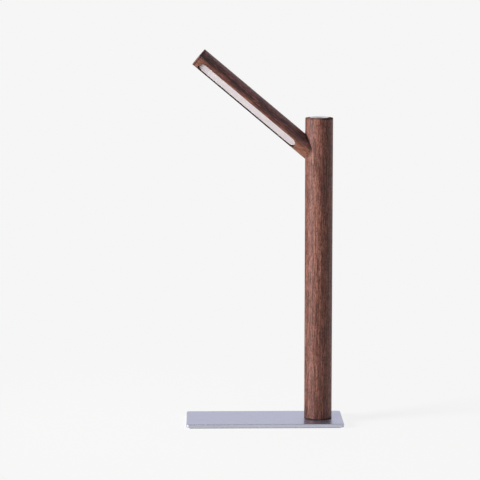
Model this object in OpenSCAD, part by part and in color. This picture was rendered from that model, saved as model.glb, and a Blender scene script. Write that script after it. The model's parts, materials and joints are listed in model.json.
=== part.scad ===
// Walnut stick lamp: a round post stands on a thin steel plate and holds a slanting round arm.
// The arm turns about its own length, so its strip of light can face down, forwards or back.
// Millimetres. The origin is under the middle of the plate, +Z is up, the arm leans towards -X
// and the front of the lamp faces -Y.

/* [Base] */
// Length of the base plate
base_w = 170; // [150:1:220]
// Depth of the base plate
base_d = 70; // [56:1:110]
// Thickness of the base plate
base_t = 4; // [3.6:0.1:8]
// Corner radius of the base plate
base_corner_r = 3; // [2:0.5:12]
// Chamfer round the edges of the base plate
base_chamfer = 0.4; // [0.2:0.1:0.8]
// Thickness of the rubber sheet under the plate
pad_t = 1; // [0.6:0.1:2]
// Distance from the rim of the plate to the rubber sheet
pad_inset = 3; // [1:0.5:8]
// Corner radius of the rubber sheet
pad_corner_r = 2; // [1:0.5:10]
// Length of the two screws that hold the post
base_screw_len = 14; // [12:1:20]

/* [Post] */
// Diameter of the post
post_d = 30; // [28:0.5:38]
// Height of the post above the plate
post_h = 328; // [260:1:420]
// Distance from the axis of the post to the near end of the plate
post_edge = 26.6; // [22:0.1:50]
// Round-over at the top of the post
post_round = 1.2; // [0.5:0.1:2]
// Chamfer at the foot of the post
post_chamfer = 0.3; // [0.2:0.1:0.8]
// Diameter of the wire channel up the post
channel_d = 10; // [9:0.2:11]

/* [Arm] */
// Diameter of the arm
arm_d = 21; // [19:0.5:23]
// Length of the arm, from the axis of the post to its far end
arm_len = 169; // [120:1:230]
// Rise of the arm above the horizontal, in degrees
arm_rise = 40; // [34:1:48]
// Turn of the slot from straight down towards the front, in degrees
arm_turn = 42.5; // [0:0.5:90]
// Largest turn of the slot from straight down, each way, in degrees
arm_reach = 135; // [95:1:150]
// Round-over at the far end of the arm
arm_round = 0.6; // [0.3:0.1:1.2]
// Distance from the axis of the post to the floor of the mortise, along the arm
mortise_floor = 6; // [5:0.2:7]
// Wood left between the switch pocket and the mortise
pocket_wall = 3; // [2:0.1:8]

/* [Light] */
// Width of the light slot
slot_w = 12; // [10:0.1:13]
// Wood left past the far end of the slot
slot_tip = 5.7; // [4:0.1:12]
// Wood left between the spigot and the near end of the slot
slot_wall = 7.3; // [4:0.1:20]
// Depth of the diffuser below the lips of the slot
recess = 1.3; // [0.5:0.1:2]
// Thickness of the diffuser
diffuser_t = 1.8; // [1.2:0.1:2.4]
// Width of the ledge that the diffuser rests on
ledge_w = 1.2; // [0.8:0.1:1.6]
// Space between the back of the diffuser and the light board
led_gap = 2.8; // [2.4:0.1:3.4]
// Thickness of the light board
board_t = 1.2; // [0.8:0.1:1.6]
// Thickness of the heat sink bar
sink_t = 2; // [1.5:0.1:2.5]
// Distance from one light chip to the next
chip_pitch = 5; // [4:0.1:10]

/* [Swivel] */
// Diameter of the spigot that the arm turns on
spigot_d = 9; // [8.4:0.1:9.6]
// Bore of the spigot
spigot_bore = 5; // [4.6:0.1:5.4]
// Length of the spigot inside the arm
spigot_in = 15.5; // [10:0.5:25]
// Length of the swivel housing
housing_len = 7; // [6:0.2:8]
// Thickness of each wall beside the stop groove
housing_wall = 0.9; // [0.7:0.05:1.1]
// Diameter of the stop pin
stop_pin_d = 1.8; // [1.4:0.1:2.2]
// Depth of the stop groove
groove_depth = 3; // [2:0.2:4]

/* [Switch] */
// Diameter of the bezel round the button
bezel_d = 20; // [19:0.1:22]
// Height of the bezel above the post
bezel_rise = 0.3; // [0.1:0.05:0.8]
// Diameter of the button
button_d = 16; // [14:0.1:16.4]
// Height of the button above the post
button_rise = 1; // [0.6:0.1:2]
// Travel of the button
button_travel = 1.5; // [0.8:0.1:2]
// Width of the flange that keeps the button in
button_flange = 0.8; // [0.5:0.1:1]
// Thickness of that flange
flange_t = 1; // [0.6:0.1:1.6]
// Length of the return spring at rest
spring_len = 6.5; // [5.5:0.1:9]
// Turns of the return spring
spring_turns = 4; // [3:1:5]
// Width of the switch body
switch_w = 8.5; // [8:0.1:9.4]
// Height of the switch body
switch_h = 7; // [6:0.1:9]

/* [Power inlet] */
// Height of the power inlet above the plate
jack_z = 18; // [16:0.5:60]
// Diameter of the body of the inlet
jack_d = 8; // [7.6:0.1:9]
// Bore of the inlet
jack_bore = 6; // [5.6:0.1:6.4]
// Diameter of the centre pin of the inlet
jack_pin_d = 2.1; // [1.7:0.1:2.5]
// Diameter of the flange of the inlet
jack_flange_d = 11; // [10:0.1:12]
// Thickness of that flange
jack_flange_t = 1.6; // [1.4:0.1:2.4]
// Diameter of the leads
lead_d = 2; // [1.4:0.1:2.2]

/* [Hidden] */
$fn = 64;

// Chamfers on small parts
pad_chamfer = 0.2;
small_chamfer = 0.1;

// Clearances: turning shaft, face that slides on another, glued or pressed joint, loose fit
turn_gap = 0.05;
face_gap = 0.05;
glue_gap = 0.05;
loose_gap = 0.3;
// Overshoot of a cut past the face that it opens
over = 1;

// Colours of the finishes
walnut = "#7b5546";
steel = "#b4b2c2";
bright_steel = "#c9ccd2";
brass = "#c2a14d";
aluminium = "#cfd1d6";
black_plastic = "#1d1d1f";
dark_rubber = "#26262a";
opal = "#e6e7e8";
board_white = "#f2f2ee";
chip_yellow = "#efe3a0";
lead_grey = "#3b3b40";

// Levels and places of the stand
post_r = post_d / 2;
post_x = base_w / 2 - post_edge;
foot_z = pad_t + base_t;
top_z = foot_z + post_h;

// Two countersunk screws go up through the plate into brass inserts beside the wire channel
insert_d = 7;
insert_len = 10;
insert_wall = 1;
insert_x = channel_d / 2 + insert_wall + insert_d / 2;
base_screw_d = 5;
base_screw_head_d = 10;
base_screw_sink = 0.2;
base_screw_play = 0.25;
base_screw_hole_d = base_screw_d + 2 * base_screw_play;
base_screw_head_h = (base_screw_head_d - base_screw_d) / 2;
hex_key = 3;
hex_depth = 1.8;

// Switch stack, from the top of the post down: bezel lip, button flange, spring, switch, carrier floor
bezel_lip = 2;
bezel_r = bezel_d / 2;
flange_r = button_d / 2 + button_flange;
stop_room = 1;
bezel_h = bezel_lip + flange_t + button_travel + stop_room;
carrier_t = 1.5;
carrier_wall = 1;
pocket_r = bezel_r + glue_gap;
pocket_depth = bezel_lip + flange_t + spring_len + switch_h + carrier_t;
pocket_z = top_z - pocket_depth;
carrier_h = pocket_depth - bezel_h;
switch_z = pocket_z + carrier_t;
switch_top = switch_z + switch_h;
button_base = top_z - bezel_lip - flange_t;
stem_d = 5;
plunger_d = 3;
plunger_rise = 3;
plunger_depth = 3;
plunger_play = 0.5;
spring_wire = 0.6;
spring_margin = 0.2;
spring_mean_d = switch_w - 2 * spring_margin - spring_wire;
dish_r = 60;
dish_depth = 0.4;

// The arm meets the post at the pivot, low enough to leave wood under the switch pocket
arm_r = arm_d / 2;
mortise_r = arm_r + loose_gap;
mortise_top = (mortise_r + pocket_r * sin(arm_rise)) / cos(arm_rise);
pivot_z = pocket_z - pocket_wall - mortise_top;
pivot = [post_x, 0, pivot_z];
along = [-cos(arm_rise), 0, sin(arm_rise)];
across = [sin(arm_rise), 0, cos(arm_rise)];

// Swivel stack along the arm: washer, housing, disc spring, circlip, end of the spigot
washer_t = 0.4;
arm_start = mortise_floor + washer_t + 2 * face_gap;
spigot_r = spigot_d / 2;
groove_play = 0.2;
groove_w = stop_pin_d + 2 * groove_play;
groove_in_r = spigot_r + turn_gap + housing_wall;
groove_r = groove_in_r + groove_w / 2;
housing_r = groove_in_r + groove_w + housing_wall;
housing_back = mortise_floor - housing_len;
disc_h = 0.9;
disc_t = 0.4;
disc_margin = 1.5;
disc_r = housing_r - disc_margin;
circlip_t = 0.8;
circlip_in = 0.35;
circlip_out = 1.5;
circlip_angle = 300;
circlip_front = housing_back - face_gap - disc_h - face_gap;
spigot_lip = 0.8;
spigot_end = circlip_front - circlip_t - spigot_lip;
seat_back = spigot_end - 2 * lead_d;
spigot_far = arm_start + spigot_in;
stop_pin_in = 5.5;
// The pin meets the end of the groove when the arm has turned as far as it goes
stop_slack = 0.5;
groove_half = arm_reach + asin(stop_pin_d / 2 / groove_r) + stop_slack;

// Light stack, measured from the axis of the arm outwards through the slot
slot_near = spigot_far + slot_wall;
slot_far = arm_len - slot_tip;
cavity_w = slot_w - 2 * ledge_w;
diffuser_face = sqrt(pow(arm_r, 2) - pow(slot_w / 2, 2)) - recess;
ledge_x = diffuser_face - diffuser_t;
board_top = ledge_x - led_gap;
board_x = board_top - board_t;
sink_x = board_x - sink_t;
wire_room = 2.7;
sink_near = slot_near + slot_w / 2 + wire_room;
sink_far = slot_far - slot_w / 2;
sink_play = 0.2;
sink_w = cavity_w - 2 * sink_play;
board_play = 0.5;
board_w = cavity_w - 2 * board_play;
light_screw_d = 1.8;
light_screw_play = 0.2;
light_screw_hole_d = light_screw_d + 2 * light_screw_play;
light_screw_head_d = 3.6;
light_screw_head_h = 1.2;
light_screw_bite = 5;
solder_room = 9;
solder_len = 5;
screw_margin = 3.5;
light_screw_z = [sink_near + solder_room, sink_far - screw_margin];
chip_size = [0.7, 3.5, 2.8];
chip_margin = 4;
chip_near = light_screw_z[0] + chip_margin;
chip_far = light_screw_z[1] - chip_margin;
chip_count = floor((chip_far - chip_near) / chip_pitch) + 1;
resistor_size = [0.5, 1, 1.6];
resistor_first = 2;
resistor_every = 5;
chip_spare = chip_far - chip_near - (chip_count - 1) * chip_pitch;

// Power inlet in the back of the post
back_y = post_r;
jack_seat_y = back_y - jack_flange_t;
jack_rear = 2.6;
jack_wall = 1.6;
jack_floor = jack_rear + jack_wall;
jack_pin_short = 1.5;
jack_axis_z = foot_z + jack_z;
tag_x = 1.8;
tag_w = 1.6;
tag_t = 0.5;
tag_len = 3.4;
tag_y = 0.6;
switch_tag_w = 0.8;
switch_tag_len = 1.6;
switch_tag_gap = 1.2;
switch_tag_rise = 3.4;
switch_tag_z = switch_z + switch_tag_rise;

// Leads: one to the arm and one to the switch, side by side in the channel
lead_r = lead_d / 2;
lead_sides = 8;
lead_join = 0.05;
arm_lead_x = 3;
arm_lead_bend = 4;
switch_lead_x = 2;
switch_lead_y = 2.4;
side_play = 0.7;
side_d = lead_d + 2 * side_play;
side_x = -housing_back * cos(arm_rise)
    + sqrt(pow(housing_r, 2) - pow(switch_lead_y, 2)) * sin(arm_rise)
    + side_d / 2 + loose_gap;
side_top = switch_tag_z + lead_d;
// Heights at which the leads leave their tags and gather below the pivot
lead_rise = 10;
lead_gather = 30;
lead_part = 9;
// Share of the way from the side channel to the switch tags that the bend takes
bend_share = 0.8;

// Frames

// On the axis of the arm: x straight down from the arm, y to the front, z out along the arm
module on_arm() {
    translate(pivot)
        rotate([0, arm_rise - 90, 0])
            rotate([0, 0, 180])
                children();
}

// As on_arm, turned so that x points straight out of the light slot
module in_slot() {
    on_arm()
        rotate([0, 0, arm_turn])
            children();
}

// On the axis of the post, at the level of the plate's upper face
module on_post() {
    translate([post_x, 0, foot_z])
        children();
}

// On the axis of the power inlet, with z out of the back of the post
module at_jack() {
    translate([post_x, 0, jack_axis_z])
        rotate([-90, 0, 0])
            children();
}

// At each of the two base screws
module at_screws() {
    for (side = [-1, 1])
        translate([post_x + side * insert_x, 0, 0])
            children();
}

// At each screw of the heat sink, with z out of the slot
module at_light_screws() {
    for (z = light_screw_z)
        translate([0, 0, z])
            rotate([0, 90, 0])
                children();
}

// Shapes that repeat

// Rounded rectangular slab with its edges chamfered above and below
module chamfered_slab(w, d, t, r, c) {
    module edge_section(span)
        polygon([
            [c - span / 2, 0], [span / 2 - c, 0], [span / 2, c], [span / 2, t - c],
            [span / 2 - c, t], [c - span / 2, t], [-span / 2, t - c], [-span / 2, c]
        ]);
    rotate([90, 0, 90])
        linear_extrude(w - 2 * r, center = true)
            edge_section(d);
    rotate([90, 0, 0])
        linear_extrude(d - 2 * r, center = true)
            edge_section(w);
    for (sx = [-1, 1], sy = [-1, 1])
        translate([sx * (w / 2 - r), sy * (d / 2 - r), 0])
            rotate_extrude()
                polygon([[0, 0], [r - c, 0], [r, c], [r, t - c], [r - c, t], [0, t]]);
}

// Round stick standing on z = 0, chamfered at the foot and rounded over at the top
module stick(d, h, top_r, foot_c) {
    rotate_extrude() {
        polygon([[0, 0], [d / 2 - foot_c, 0], [d / 2, foot_c], [d / 2, h - top_r], [0, h - top_r]]);
        square([d / 2 - top_r, h]);
        translate([d / 2 - top_r, h - top_r])
            circle(top_r, $fn = 32);
    }
}

// Ring between two radii, standing on z = 0
module ring(out_r, in_r, h) {
    rotate_extrude()
        translate([in_r, 0])
            square([out_r - in_r, h]);
}

// Bar with round ends along z, between two levels of x
module round_bar(w, z0, z1, x0, x1) {
    translate([x0, 0, 0])
        rotate([0, 90, 0])
            linear_extrude(x1 - x0) {
                translate([w / 2 - z1, -w / 2])
                    square([z1 - z0 - w, w]);
                for (z = [z0 + w / 2, z1 - w / 2])
                    translate([-z, 0])
                        circle(d = w);
            }
}

// Square-ended bar along z, between two levels of x
module flat_bar(w, z0, z1, x0, x1) {
    translate([x0, -w / 2, z0])
        cube([x1 - x0, w, z1 - z0]);
}

function unit(v) = v / norm(v);

// Tube of round section along a path; side_dir is a direction that the path never takes
module swept_tube(path, d, sides, side_dir) {
    last = len(path) - 1;
    points = [
        for (i = [0:last])
            let (
                t = unit(path[min(i + 1, last)] - path[max(i - 1, 0)]),
                u = unit(cross(side_dir, t)),
                v = cross(t, u)
            )
            for (k = [0:sides - 1])
                path[i] + d / 2 * (cos(360 * k / sides) * u + sin(360 * k / sides) * v)
    ];
    walls = [
        for (i = [0:last - 1], k = [0:sides - 1])
            let (a = i * sides + k, b = i * sides + (k + 1) % sides)
            each [[a, b + sides, b], [a, a + sides, b + sides]]
    ];
    near_cap = [for (k = [0:sides - 1]) k];
    far_cap = [for (k = [sides - 1:-1:0]) last * sides + k];
    polyhedron(points, concat(walls, [near_cap, far_cap]));
}

// Stand

module foot_pad() {
    color(dark_rubber)
        chamfered_slab(base_w - 2 * pad_inset, base_d - 2 * pad_inset, pad_t, pad_corner_r, pad_chamfer);
}

module base_plate() {
    color(steel)
        difference() {
            translate([0, 0, pad_t])
                chamfered_slab(base_w, base_d, base_t, base_corner_r, base_chamfer);
            at_screws()
                translate([0, 0, pad_t]) {
                    cylinder(d = base_screw_hole_d, h = base_t + over);
                    translate([0, 0, -over])
                        cylinder(d = base_screw_head_d + 2 * glue_gap, h = over + base_screw_sink);
                    translate([0, 0, base_screw_sink])
                        cylinder(
                            d1 = base_screw_head_d + 2 * glue_gap,
                            d2 = base_screw_d + 2 * glue_gap,
                            h = base_screw_head_h
                        );
                }
        }
}

module base_screws() {
    color(bright_steel)
        at_screws()
            translate([0, 0, pad_t + base_screw_sink])
                difference() {
                    union() {
                        cylinder(d1 = base_screw_head_d, d2 = base_screw_d, h = base_screw_head_h);
                        cylinder(d = base_screw_d, h = base_screw_len);
                    }
                    translate([0, 0, -over])
                        cylinder(d = hex_key / cos(30), h = over + hex_depth, $fn = 6);
                }
}

module threaded_inserts() {
    color(brass)
        at_screws()
            translate([0, 0, foot_z])
                ring(insert_d / 2, base_screw_d / 2 + glue_gap, insert_len);
}

module post() {
    color(walnut)
        difference() {
            on_post()
                stick(post_d, post_h, post_round, post_chamfer);
            post_arm_cuts();
            post_wire_cuts();
            post_foot_cuts();
            translate([post_x, 0, pocket_z])
                cylinder(r = pocket_r, h = pocket_depth + over);
        }
}

// Mortise for the arm, and the smaller seat behind it for the swivel
module post_arm_cuts() {
    on_arm() {
        translate([0, 0, mortise_floor])
            cylinder(r = mortise_r, h = 2 * post_d);
        translate([0, 0, seat_back])
            cylinder(r = housing_r + glue_gap, h = mortise_floor - seat_back + over);
    }
}

// Channel up the axis, side channel to the switch, and the stepped hole for the inlet
module post_wire_cuts() {
    on_post()
        translate([0, 0, -over])
            cylinder(d = channel_d, h = pivot_z - foot_z + over);
    translate([post_x + side_x, switch_lead_y, pivot_z])
        cylinder(d = side_d, h = side_top - pivot_z);
    at_jack() {
        cylinder(d = jack_d + 2 * glue_gap, h = back_y + over);
        translate([0, 0, jack_seat_y])
            cylinder(d = jack_flange_d + 2 * glue_gap, h = post_r);
    }
}

// Holes for the inserts, with room for the ends of the screws
module post_foot_cuts() {
    at_screws()
        translate([0, 0, foot_z - over]) {
            cylinder(d = insert_d + 2 * glue_gap, h = insert_len + over);
            cylinder(d = base_screw_hole_d, h = base_screw_len + over);
        }
}

module power_jack() {
    color(black_plastic)
        at_jack()
            difference() {
                union() {
                    translate([0, 0, jack_rear])
                        cylinder(d = jack_d, h = jack_seat_y - jack_rear + jack_flange_t / 2);
                    translate([0, 0, jack_seat_y])
                        stick(jack_flange_d, jack_flange_t, jack_flange_t / 4, small_chamfer);
                }
                translate([0, 0, jack_floor])
                    cylinder(d = jack_bore, h = back_y);
                translate([0, 0, jack_rear - over])
                    cylinder(d = jack_pin_d + 2 * glue_gap, h = jack_wall + 2 * over);
            }
}

module jack_pin() {
    color(bright_steel)
        at_jack()
            translate([0, 0, jack_rear])
                stick(jack_pin_d, back_y - jack_rear - jack_pin_short, jack_pin_d / 4, small_chamfer);
}

module jack_tags() {
    color(brass)
        for (side = [-1, 1])
            translate([post_x + side * tag_x - tag_w / 2, jack_rear - tag_len, jack_axis_z - tag_t / 2])
                cube([tag_w, tag_len, tag_t]);
}

// Points from the inlet up the post, into the seat behind the swivel and up to the switch
function switch_lead_path() =
    let (
        low = jack_axis_z + tag_t / 2,
        behind = pivot + (spigot_end + seat_back) / 2 * along + [0, switch_lead_y, 0],
        side = [post_x + side_x, switch_lead_y],
        bend = bend_share * (side_x - switch_w / 2 - switch_tag_len)
    )
    concat(
        [
            [post_x - tag_x, tag_y, low],
            [post_x - tag_x, tag_y, low + lead_rise],
            [post_x + switch_lead_x, switch_lead_y, pivot_z - lead_gather],
            [post_x + switch_lead_x, switch_lead_y, pivot_z - lead_part]
        ],
        [for (k = [-0.5, 0.75, 1.75]) behind + k * lead_d * across],
        [
            [side[0] - lead_r / 2, side[1], pivot_z + lead_r],
            [side[0], side[1], pivot_z + 2 * lead_d]
        ],
        [
            for (turn = [0:22.5:90])
                [side[0] - bend * (1 - cos(turn)), side[1], switch_tag_z - bend * (1 - sin(turn))]
        ],
        [[post_x + switch_w / 2 + switch_tag_len, side[1], switch_tag_z]]
    );

module switch_lead() {
    color(lead_grey)
        swept_tube(switch_lead_path(), lead_d, lead_sides, [0, 1, 0]);
}

// Points from the inlet up the post and round onto the axis of the arm
function led_lead_path() =
    let (
        low = jack_axis_z + tag_t / 2,
        turn = 90 - arm_rise,
        end_x = arm_lead_x - arm_lead_bend * (1 - cos(turn)),
        bend_z = pivot_z - end_x * tan(arm_rise) - arm_lead_bend * sin(turn),
        bend_x = post_x + arm_lead_x - arm_lead_bend
    )
    concat(
        [
            [post_x + tag_x, tag_y, low],
            [post_x + tag_x, tag_y, low + lead_rise],
            [post_x + arm_lead_x, 0, pivot_z - lead_gather]
        ],
        [
            for (f = [0:0.25:1])
                [bend_x + arm_lead_bend * cos(f * turn), 0, bend_z + arm_lead_bend * sin(f * turn)]
        ],
        [pivot - lead_join * along]
    );

module led_lead_post() {
    color(lead_grey)
        swept_tube(led_lead_path(), lead_d, lead_sides, [0, 1, 0]);
}

// Bush in the post, with a long curved groove that the stop pin runs in
module swivel_housing() {
    color(brass)
        on_arm()
            difference() {
                translate([0, 0, housing_back])
                    ring(housing_r, spigot_r + turn_gap, housing_len);
                translate([0, 0, mortise_floor - groove_depth])
                    rotate([0, 0, -groove_half])
                        rotate_extrude(angle = 2 * groove_half)
                            translate([groove_r - groove_w / 2, 0])
                                square([groove_w, groove_depth + over]);
            }
}

// Ring let into the top of the post; its lip holds the button down
module switch_bezel() {
    lip_r = button_d / 2 + loose_gap;
    room_r = flange_r + loose_gap;
    chamfer = bezel_rise / 2;
    color(aluminium)
        translate([post_x, 0, top_z])
            rotate_extrude()
                polygon([
                    [lip_r + chamfer, bezel_rise], [bezel_r - chamfer, bezel_rise],
                    [bezel_r, bezel_rise - chamfer], [bezel_r, -bezel_h], [room_r, -bezel_h],
                    [room_r, face_gap - bezel_lip], [lip_r, face_gap - bezel_lip],
                    [lip_r, bezel_rise - chamfer]
                ]);
}

// Cup under the bezel, with a square socket for the switch and a notch for its lead
module switch_carrier() {
    rib = 1.2;
    rib_h = 2.5;
    socket = switch_w + 2 * glue_gap;
    color(black_plastic)
        difference() {
            translate([post_x, 0, pocket_z])
                difference() {
                    union() {
                        ring(bezel_r, bezel_r - carrier_wall, carrier_h);
                        cylinder(r = bezel_r - carrier_wall / 2, h = carrier_t);
                        translate([-socket / 2 - rib, -socket / 2 - rib, 0])
                            cube([socket + 2 * rib, socket + 2 * rib, carrier_t + rib_h]);
                    }
                    translate([-socket / 2, -socket / 2, carrier_t])
                        cube([socket, socket, switch_h]);
                }
            translate([post_x + side_x, switch_lead_y, pocket_z - over])
                cylinder(d = side_d, h = side_top - pocket_z + over);
        }
}

module switch_body() {
    lid_h = 0.6;
    lid_inset = 0.25;
    color(black_plastic)
        translate([post_x, 0, switch_z])
            difference() {
                union() {
                    translate([-switch_w / 2, -switch_w / 2, 0])
                        cube([switch_w, switch_w, switch_h - lid_h]);
                    translate([lid_inset - switch_w / 2, lid_inset - switch_w / 2, 0])
                        cube([switch_w - 2 * lid_inset, switch_w - 2 * lid_inset, switch_h]);
                }
                translate([0, 0, switch_h - plunger_depth - button_travel - plunger_play])
                    cylinder(d = plunger_d + 2 * loose_gap, h = switch_h);
            }
}

module switch_tags() {
    color(brass)
        for (side = [-1, 1])
            translate([
                post_x + switch_w / 2,
                switch_lead_y + side * switch_tag_gap / 2 - switch_tag_w / 2,
                switch_tag_z - tag_t / 2
            ])
                cube([switch_tag_len, switch_tag_w, tag_t]);
}

// Arm

module arm_stick() {
    color(walnut)
        in_slot()
            difference() {
                translate([0, 0, arm_start])
                    stick(arm_d, arm_len - arm_start, arm_round, post_chamfer);
                round_bar(slot_w, slot_near, slot_far, ledge_x, arm_d);
                round_bar(cavity_w, slot_near + ledge_w, slot_far - ledge_w, sink_x, ledge_x + over);
                translate([0, 0, arm_start - over])
                    cylinder(r = spigot_r + glue_gap, h = spigot_in + over);
                translate([0, 0, arm_start])
                    cylinder(d = spigot_bore, h = slot_near + slot_w / 2 - arm_start);
                translate([groove_r, 0, arm_start - over])
                    cylinder(d = stop_pin_d + 2 * glue_gap, h = stop_pin_in + over);
                translate([sink_x, 0, 0])
                    at_light_screws()
                        translate([0, 0, -light_screw_bite])
                            cylinder(d = light_screw_d + 2 * glue_gap, h = light_screw_bite + over);
            }
}

// Hollow shaft glued into the arm, with a groove for the circlip near its inner end
module swivel_spigot() {
    color(bright_steel)
        on_arm()
            difference() {
                translate([0, 0, spigot_end])
                    ring(spigot_r, spigot_bore / 2, spigot_far - spigot_end);
                translate([0, 0, circlip_front - circlip_t - face_gap])
                    ring(spigot_r + over, spigot_r - circlip_in - face_gap, circlip_t + 2 * face_gap);
            }
}

module thrust_washer() {
    color(board_white)
        on_arm()
            translate([0, 0, mortise_floor + face_gap])
                ring(groove_in_r - 3 * face_gap, spigot_r + turn_gap, washer_t);
}

// Coned ring that presses on the back of the housing with its rim and on the circlip with its middle
module disc_spring() {
    in_r = spigot_r + turn_gap;
    low = circlip_front + face_gap;
    color(bright_steel)
        on_arm()
            rotate_extrude()
                polygon([
                    [in_r, low], [disc_r, low + disc_h - disc_t],
                    [disc_r, low + disc_h], [in_r, low + disc_t]
                ]);
}

module circlip() {
    in_r = spigot_r - circlip_in;
    color(bright_steel)
        on_arm()
            translate([0, 0, circlip_front - circlip_t])
                rotate_extrude(angle = circlip_angle)
                    translate([in_r, 0])
                        square([circlip_in + circlip_out, circlip_t]);
}

module stop_pin() {
    near = mortise_floor - groove_depth + loose_gap;
    far = arm_start + stop_pin_in;
    color(bright_steel)
        in_slot()
            translate([groove_r, 0, near])
                cylinder(d = stop_pin_d, h = far - near);
}

module heat_sink() {
    color(aluminium)
        in_slot()
            difference() {
                flat_bar(sink_w, sink_near, sink_far, sink_x, board_x);
                translate([sink_x - over, 0, 0])
                    at_light_screws()
                        cylinder(d = light_screw_hole_d, h = sink_t + 2 * over);
            }
}

module heat_sink_screws() {
    head_h = light_screw_head_h;
    shank = board_t + sink_t + light_screw_bite - over;
    color(bright_steel)
        in_slot()
            translate([board_top, 0, 0])
                at_light_screws()
                    difference() {
                        union() {
                            stick(light_screw_head_d, head_h, head_h / 3, small_chamfer);
                            translate([0, 0, -shank])
                                cylinder(d = light_screw_d, h = shank + head_h / 2);
                        }
                        translate([0, 0, head_h / 2])
                            cylinder(d = light_screw_d, h = head_h, $fn = 6);
                    }
}

module led_board() {
    color(board_white)
        in_slot()
            difference() {
                flat_bar(board_w, sink_near, sink_far, board_x, board_top);
                translate([board_x - over, 0, 0])
                    at_light_screws()
                        cylinder(d = light_screw_hole_d, h = board_t + 2 * over);
            }
}

// One row of chips between the two screws of the board
module led_chips() {
    color(chip_yellow)
        in_slot()
            for (i = [0:chip_count - 1])
                translate([
                    board_top,
                    -chip_size[1] / 2,
                    chip_near + chip_spare / 2 + i * chip_pitch - chip_size[2] / 2
                ])
                    cube(chip_size);
}

module led_resistors() {
    side = (chip_size[1] / 2 + board_w / 2 - resistor_size[1]) / 2;
    color(black_plastic)
        in_slot()
            for (i = [resistor_first:resistor_every:chip_count - 1])
                translate([
                    board_top,
                    side,
                    chip_near + chip_spare / 2 + i * chip_pitch - resistor_size[2] / 2
                ])
                    cube(resistor_size);
}

module diffuser() {
    color(opal)
        in_slot()
            round_bar(
                slot_w - 2 * glue_gap,
                slot_near + glue_gap,
                slot_far - glue_gap,
                ledge_x,
                diffuser_face
            );
}

// Straight along the spigot, then up over the end of the light board, in the plane of the slot
module led_lead_arm() {
    rise = board_top + lead_r;
    climb_from = slot_near;
    climb_to = sink_near - lead_r / 2;
    path = concat(
        [[0, 0, lead_join]],
        [
            for (f = [0:0.2:1])
                [rise * f * f * (3 - 2 * f), 0, climb_from + f * (climb_to - climb_from)]
        ],
        [[rise, 0, sink_near + solder_len]]
    );
    color(lead_grey)
        in_slot()
            swept_tube(path, lead_d, lead_sides, [0, 1, 0]);
}

// Button

// Turned button with a shallow dish, a flange that the bezel holds and a stem that presses the switch
module button_cap() {
    height = bezel_lip + button_rise;
    color(aluminium)
        translate([post_x, 0, button_base])
            difference() {
                union() {
                    cylinder(r = flange_r, h = flange_t);
                    translate([0, 0, flange_t / 2])
                        stick(button_d, height + flange_t / 2, button_rise / 2, small_chamfer);
                    translate([0, 0, plunger_rise - spring_len])
                        cylinder(d = stem_d, h = spring_len - plunger_rise + flange_t / 2);
                }
                translate([0, 0, flange_t + height - dish_depth + dish_r])
                    sphere(dish_r);
            }
}

module switch_plunger() {
    color(board_white)
        translate([post_x, 0, switch_top - plunger_depth])
            cylinder(d = plunger_d, h = plunger_depth + plunger_rise);
}

// Coil round the stem, from the top of the switch to the under side of the button
module return_spring() {
    steps = 12;
    low = switch_top + spring_wire / 2;
    high = switch_top + spring_len - spring_wire / 2;
    count = steps * spring_turns;
    path = [
        for (i = [0:count])
            [
                post_x + spring_mean_d / 2 * cos(360 * i / steps),
                spring_mean_d / 2 * sin(360 * i / steps),
                low + (high - low) * i / count
            ]
    ];
    color(bright_steel)
        swept_tube(path, spring_wire, 6, [0, 0, 1]);
}

foot_pad();
base_plate();
base_screws();
threaded_inserts();
post();
power_jack();
jack_pin();
jack_tags();
switch_lead();
led_lead_post();
swivel_housing();
switch_bezel();
switch_carrier();
switch_body();
switch_tags();
arm_stick();
swivel_spigot();
thrust_washer();
disc_spring();
circlip();
stop_pin();
heat_sink();
heat_sink_screws();
led_board();
led_chips();
led_resistors();
diffuser();
led_lead_arm();
button_cap();
switch_plunger();
return_spring();
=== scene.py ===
# %% [markdown]
# Walnut stick lamp
#
# A round walnut post stands on a thin steel plate. A slanting walnut arm turns in the post about its
# own length and carries a strip of light behind an opal cover. The solids come from the frame, which
# holds every piece at its real size, so nothing is moved or resized here. This lesson dresses them:
# it makes the wood, the metals and the plastics, and models the small shapes that a finish needs.

import json
import math

import bmesh
import bpy
from mathutils import Color, Matrix, Vector


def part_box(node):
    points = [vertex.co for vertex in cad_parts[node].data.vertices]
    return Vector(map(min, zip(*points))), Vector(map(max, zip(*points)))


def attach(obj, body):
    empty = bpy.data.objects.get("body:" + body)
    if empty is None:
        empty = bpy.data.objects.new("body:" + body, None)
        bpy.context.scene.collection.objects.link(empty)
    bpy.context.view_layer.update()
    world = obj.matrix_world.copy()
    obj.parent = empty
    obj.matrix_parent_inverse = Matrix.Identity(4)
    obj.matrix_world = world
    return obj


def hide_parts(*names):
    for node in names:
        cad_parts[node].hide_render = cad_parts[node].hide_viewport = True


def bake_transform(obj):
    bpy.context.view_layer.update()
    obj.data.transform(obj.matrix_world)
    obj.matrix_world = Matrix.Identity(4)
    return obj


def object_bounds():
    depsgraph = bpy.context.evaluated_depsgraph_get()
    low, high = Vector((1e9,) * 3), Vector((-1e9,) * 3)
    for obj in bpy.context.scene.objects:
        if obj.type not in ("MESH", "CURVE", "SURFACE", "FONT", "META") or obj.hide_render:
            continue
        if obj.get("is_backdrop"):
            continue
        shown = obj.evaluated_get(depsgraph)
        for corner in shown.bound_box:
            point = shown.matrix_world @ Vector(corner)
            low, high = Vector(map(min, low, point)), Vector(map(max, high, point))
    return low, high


MM = 0.001

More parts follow.
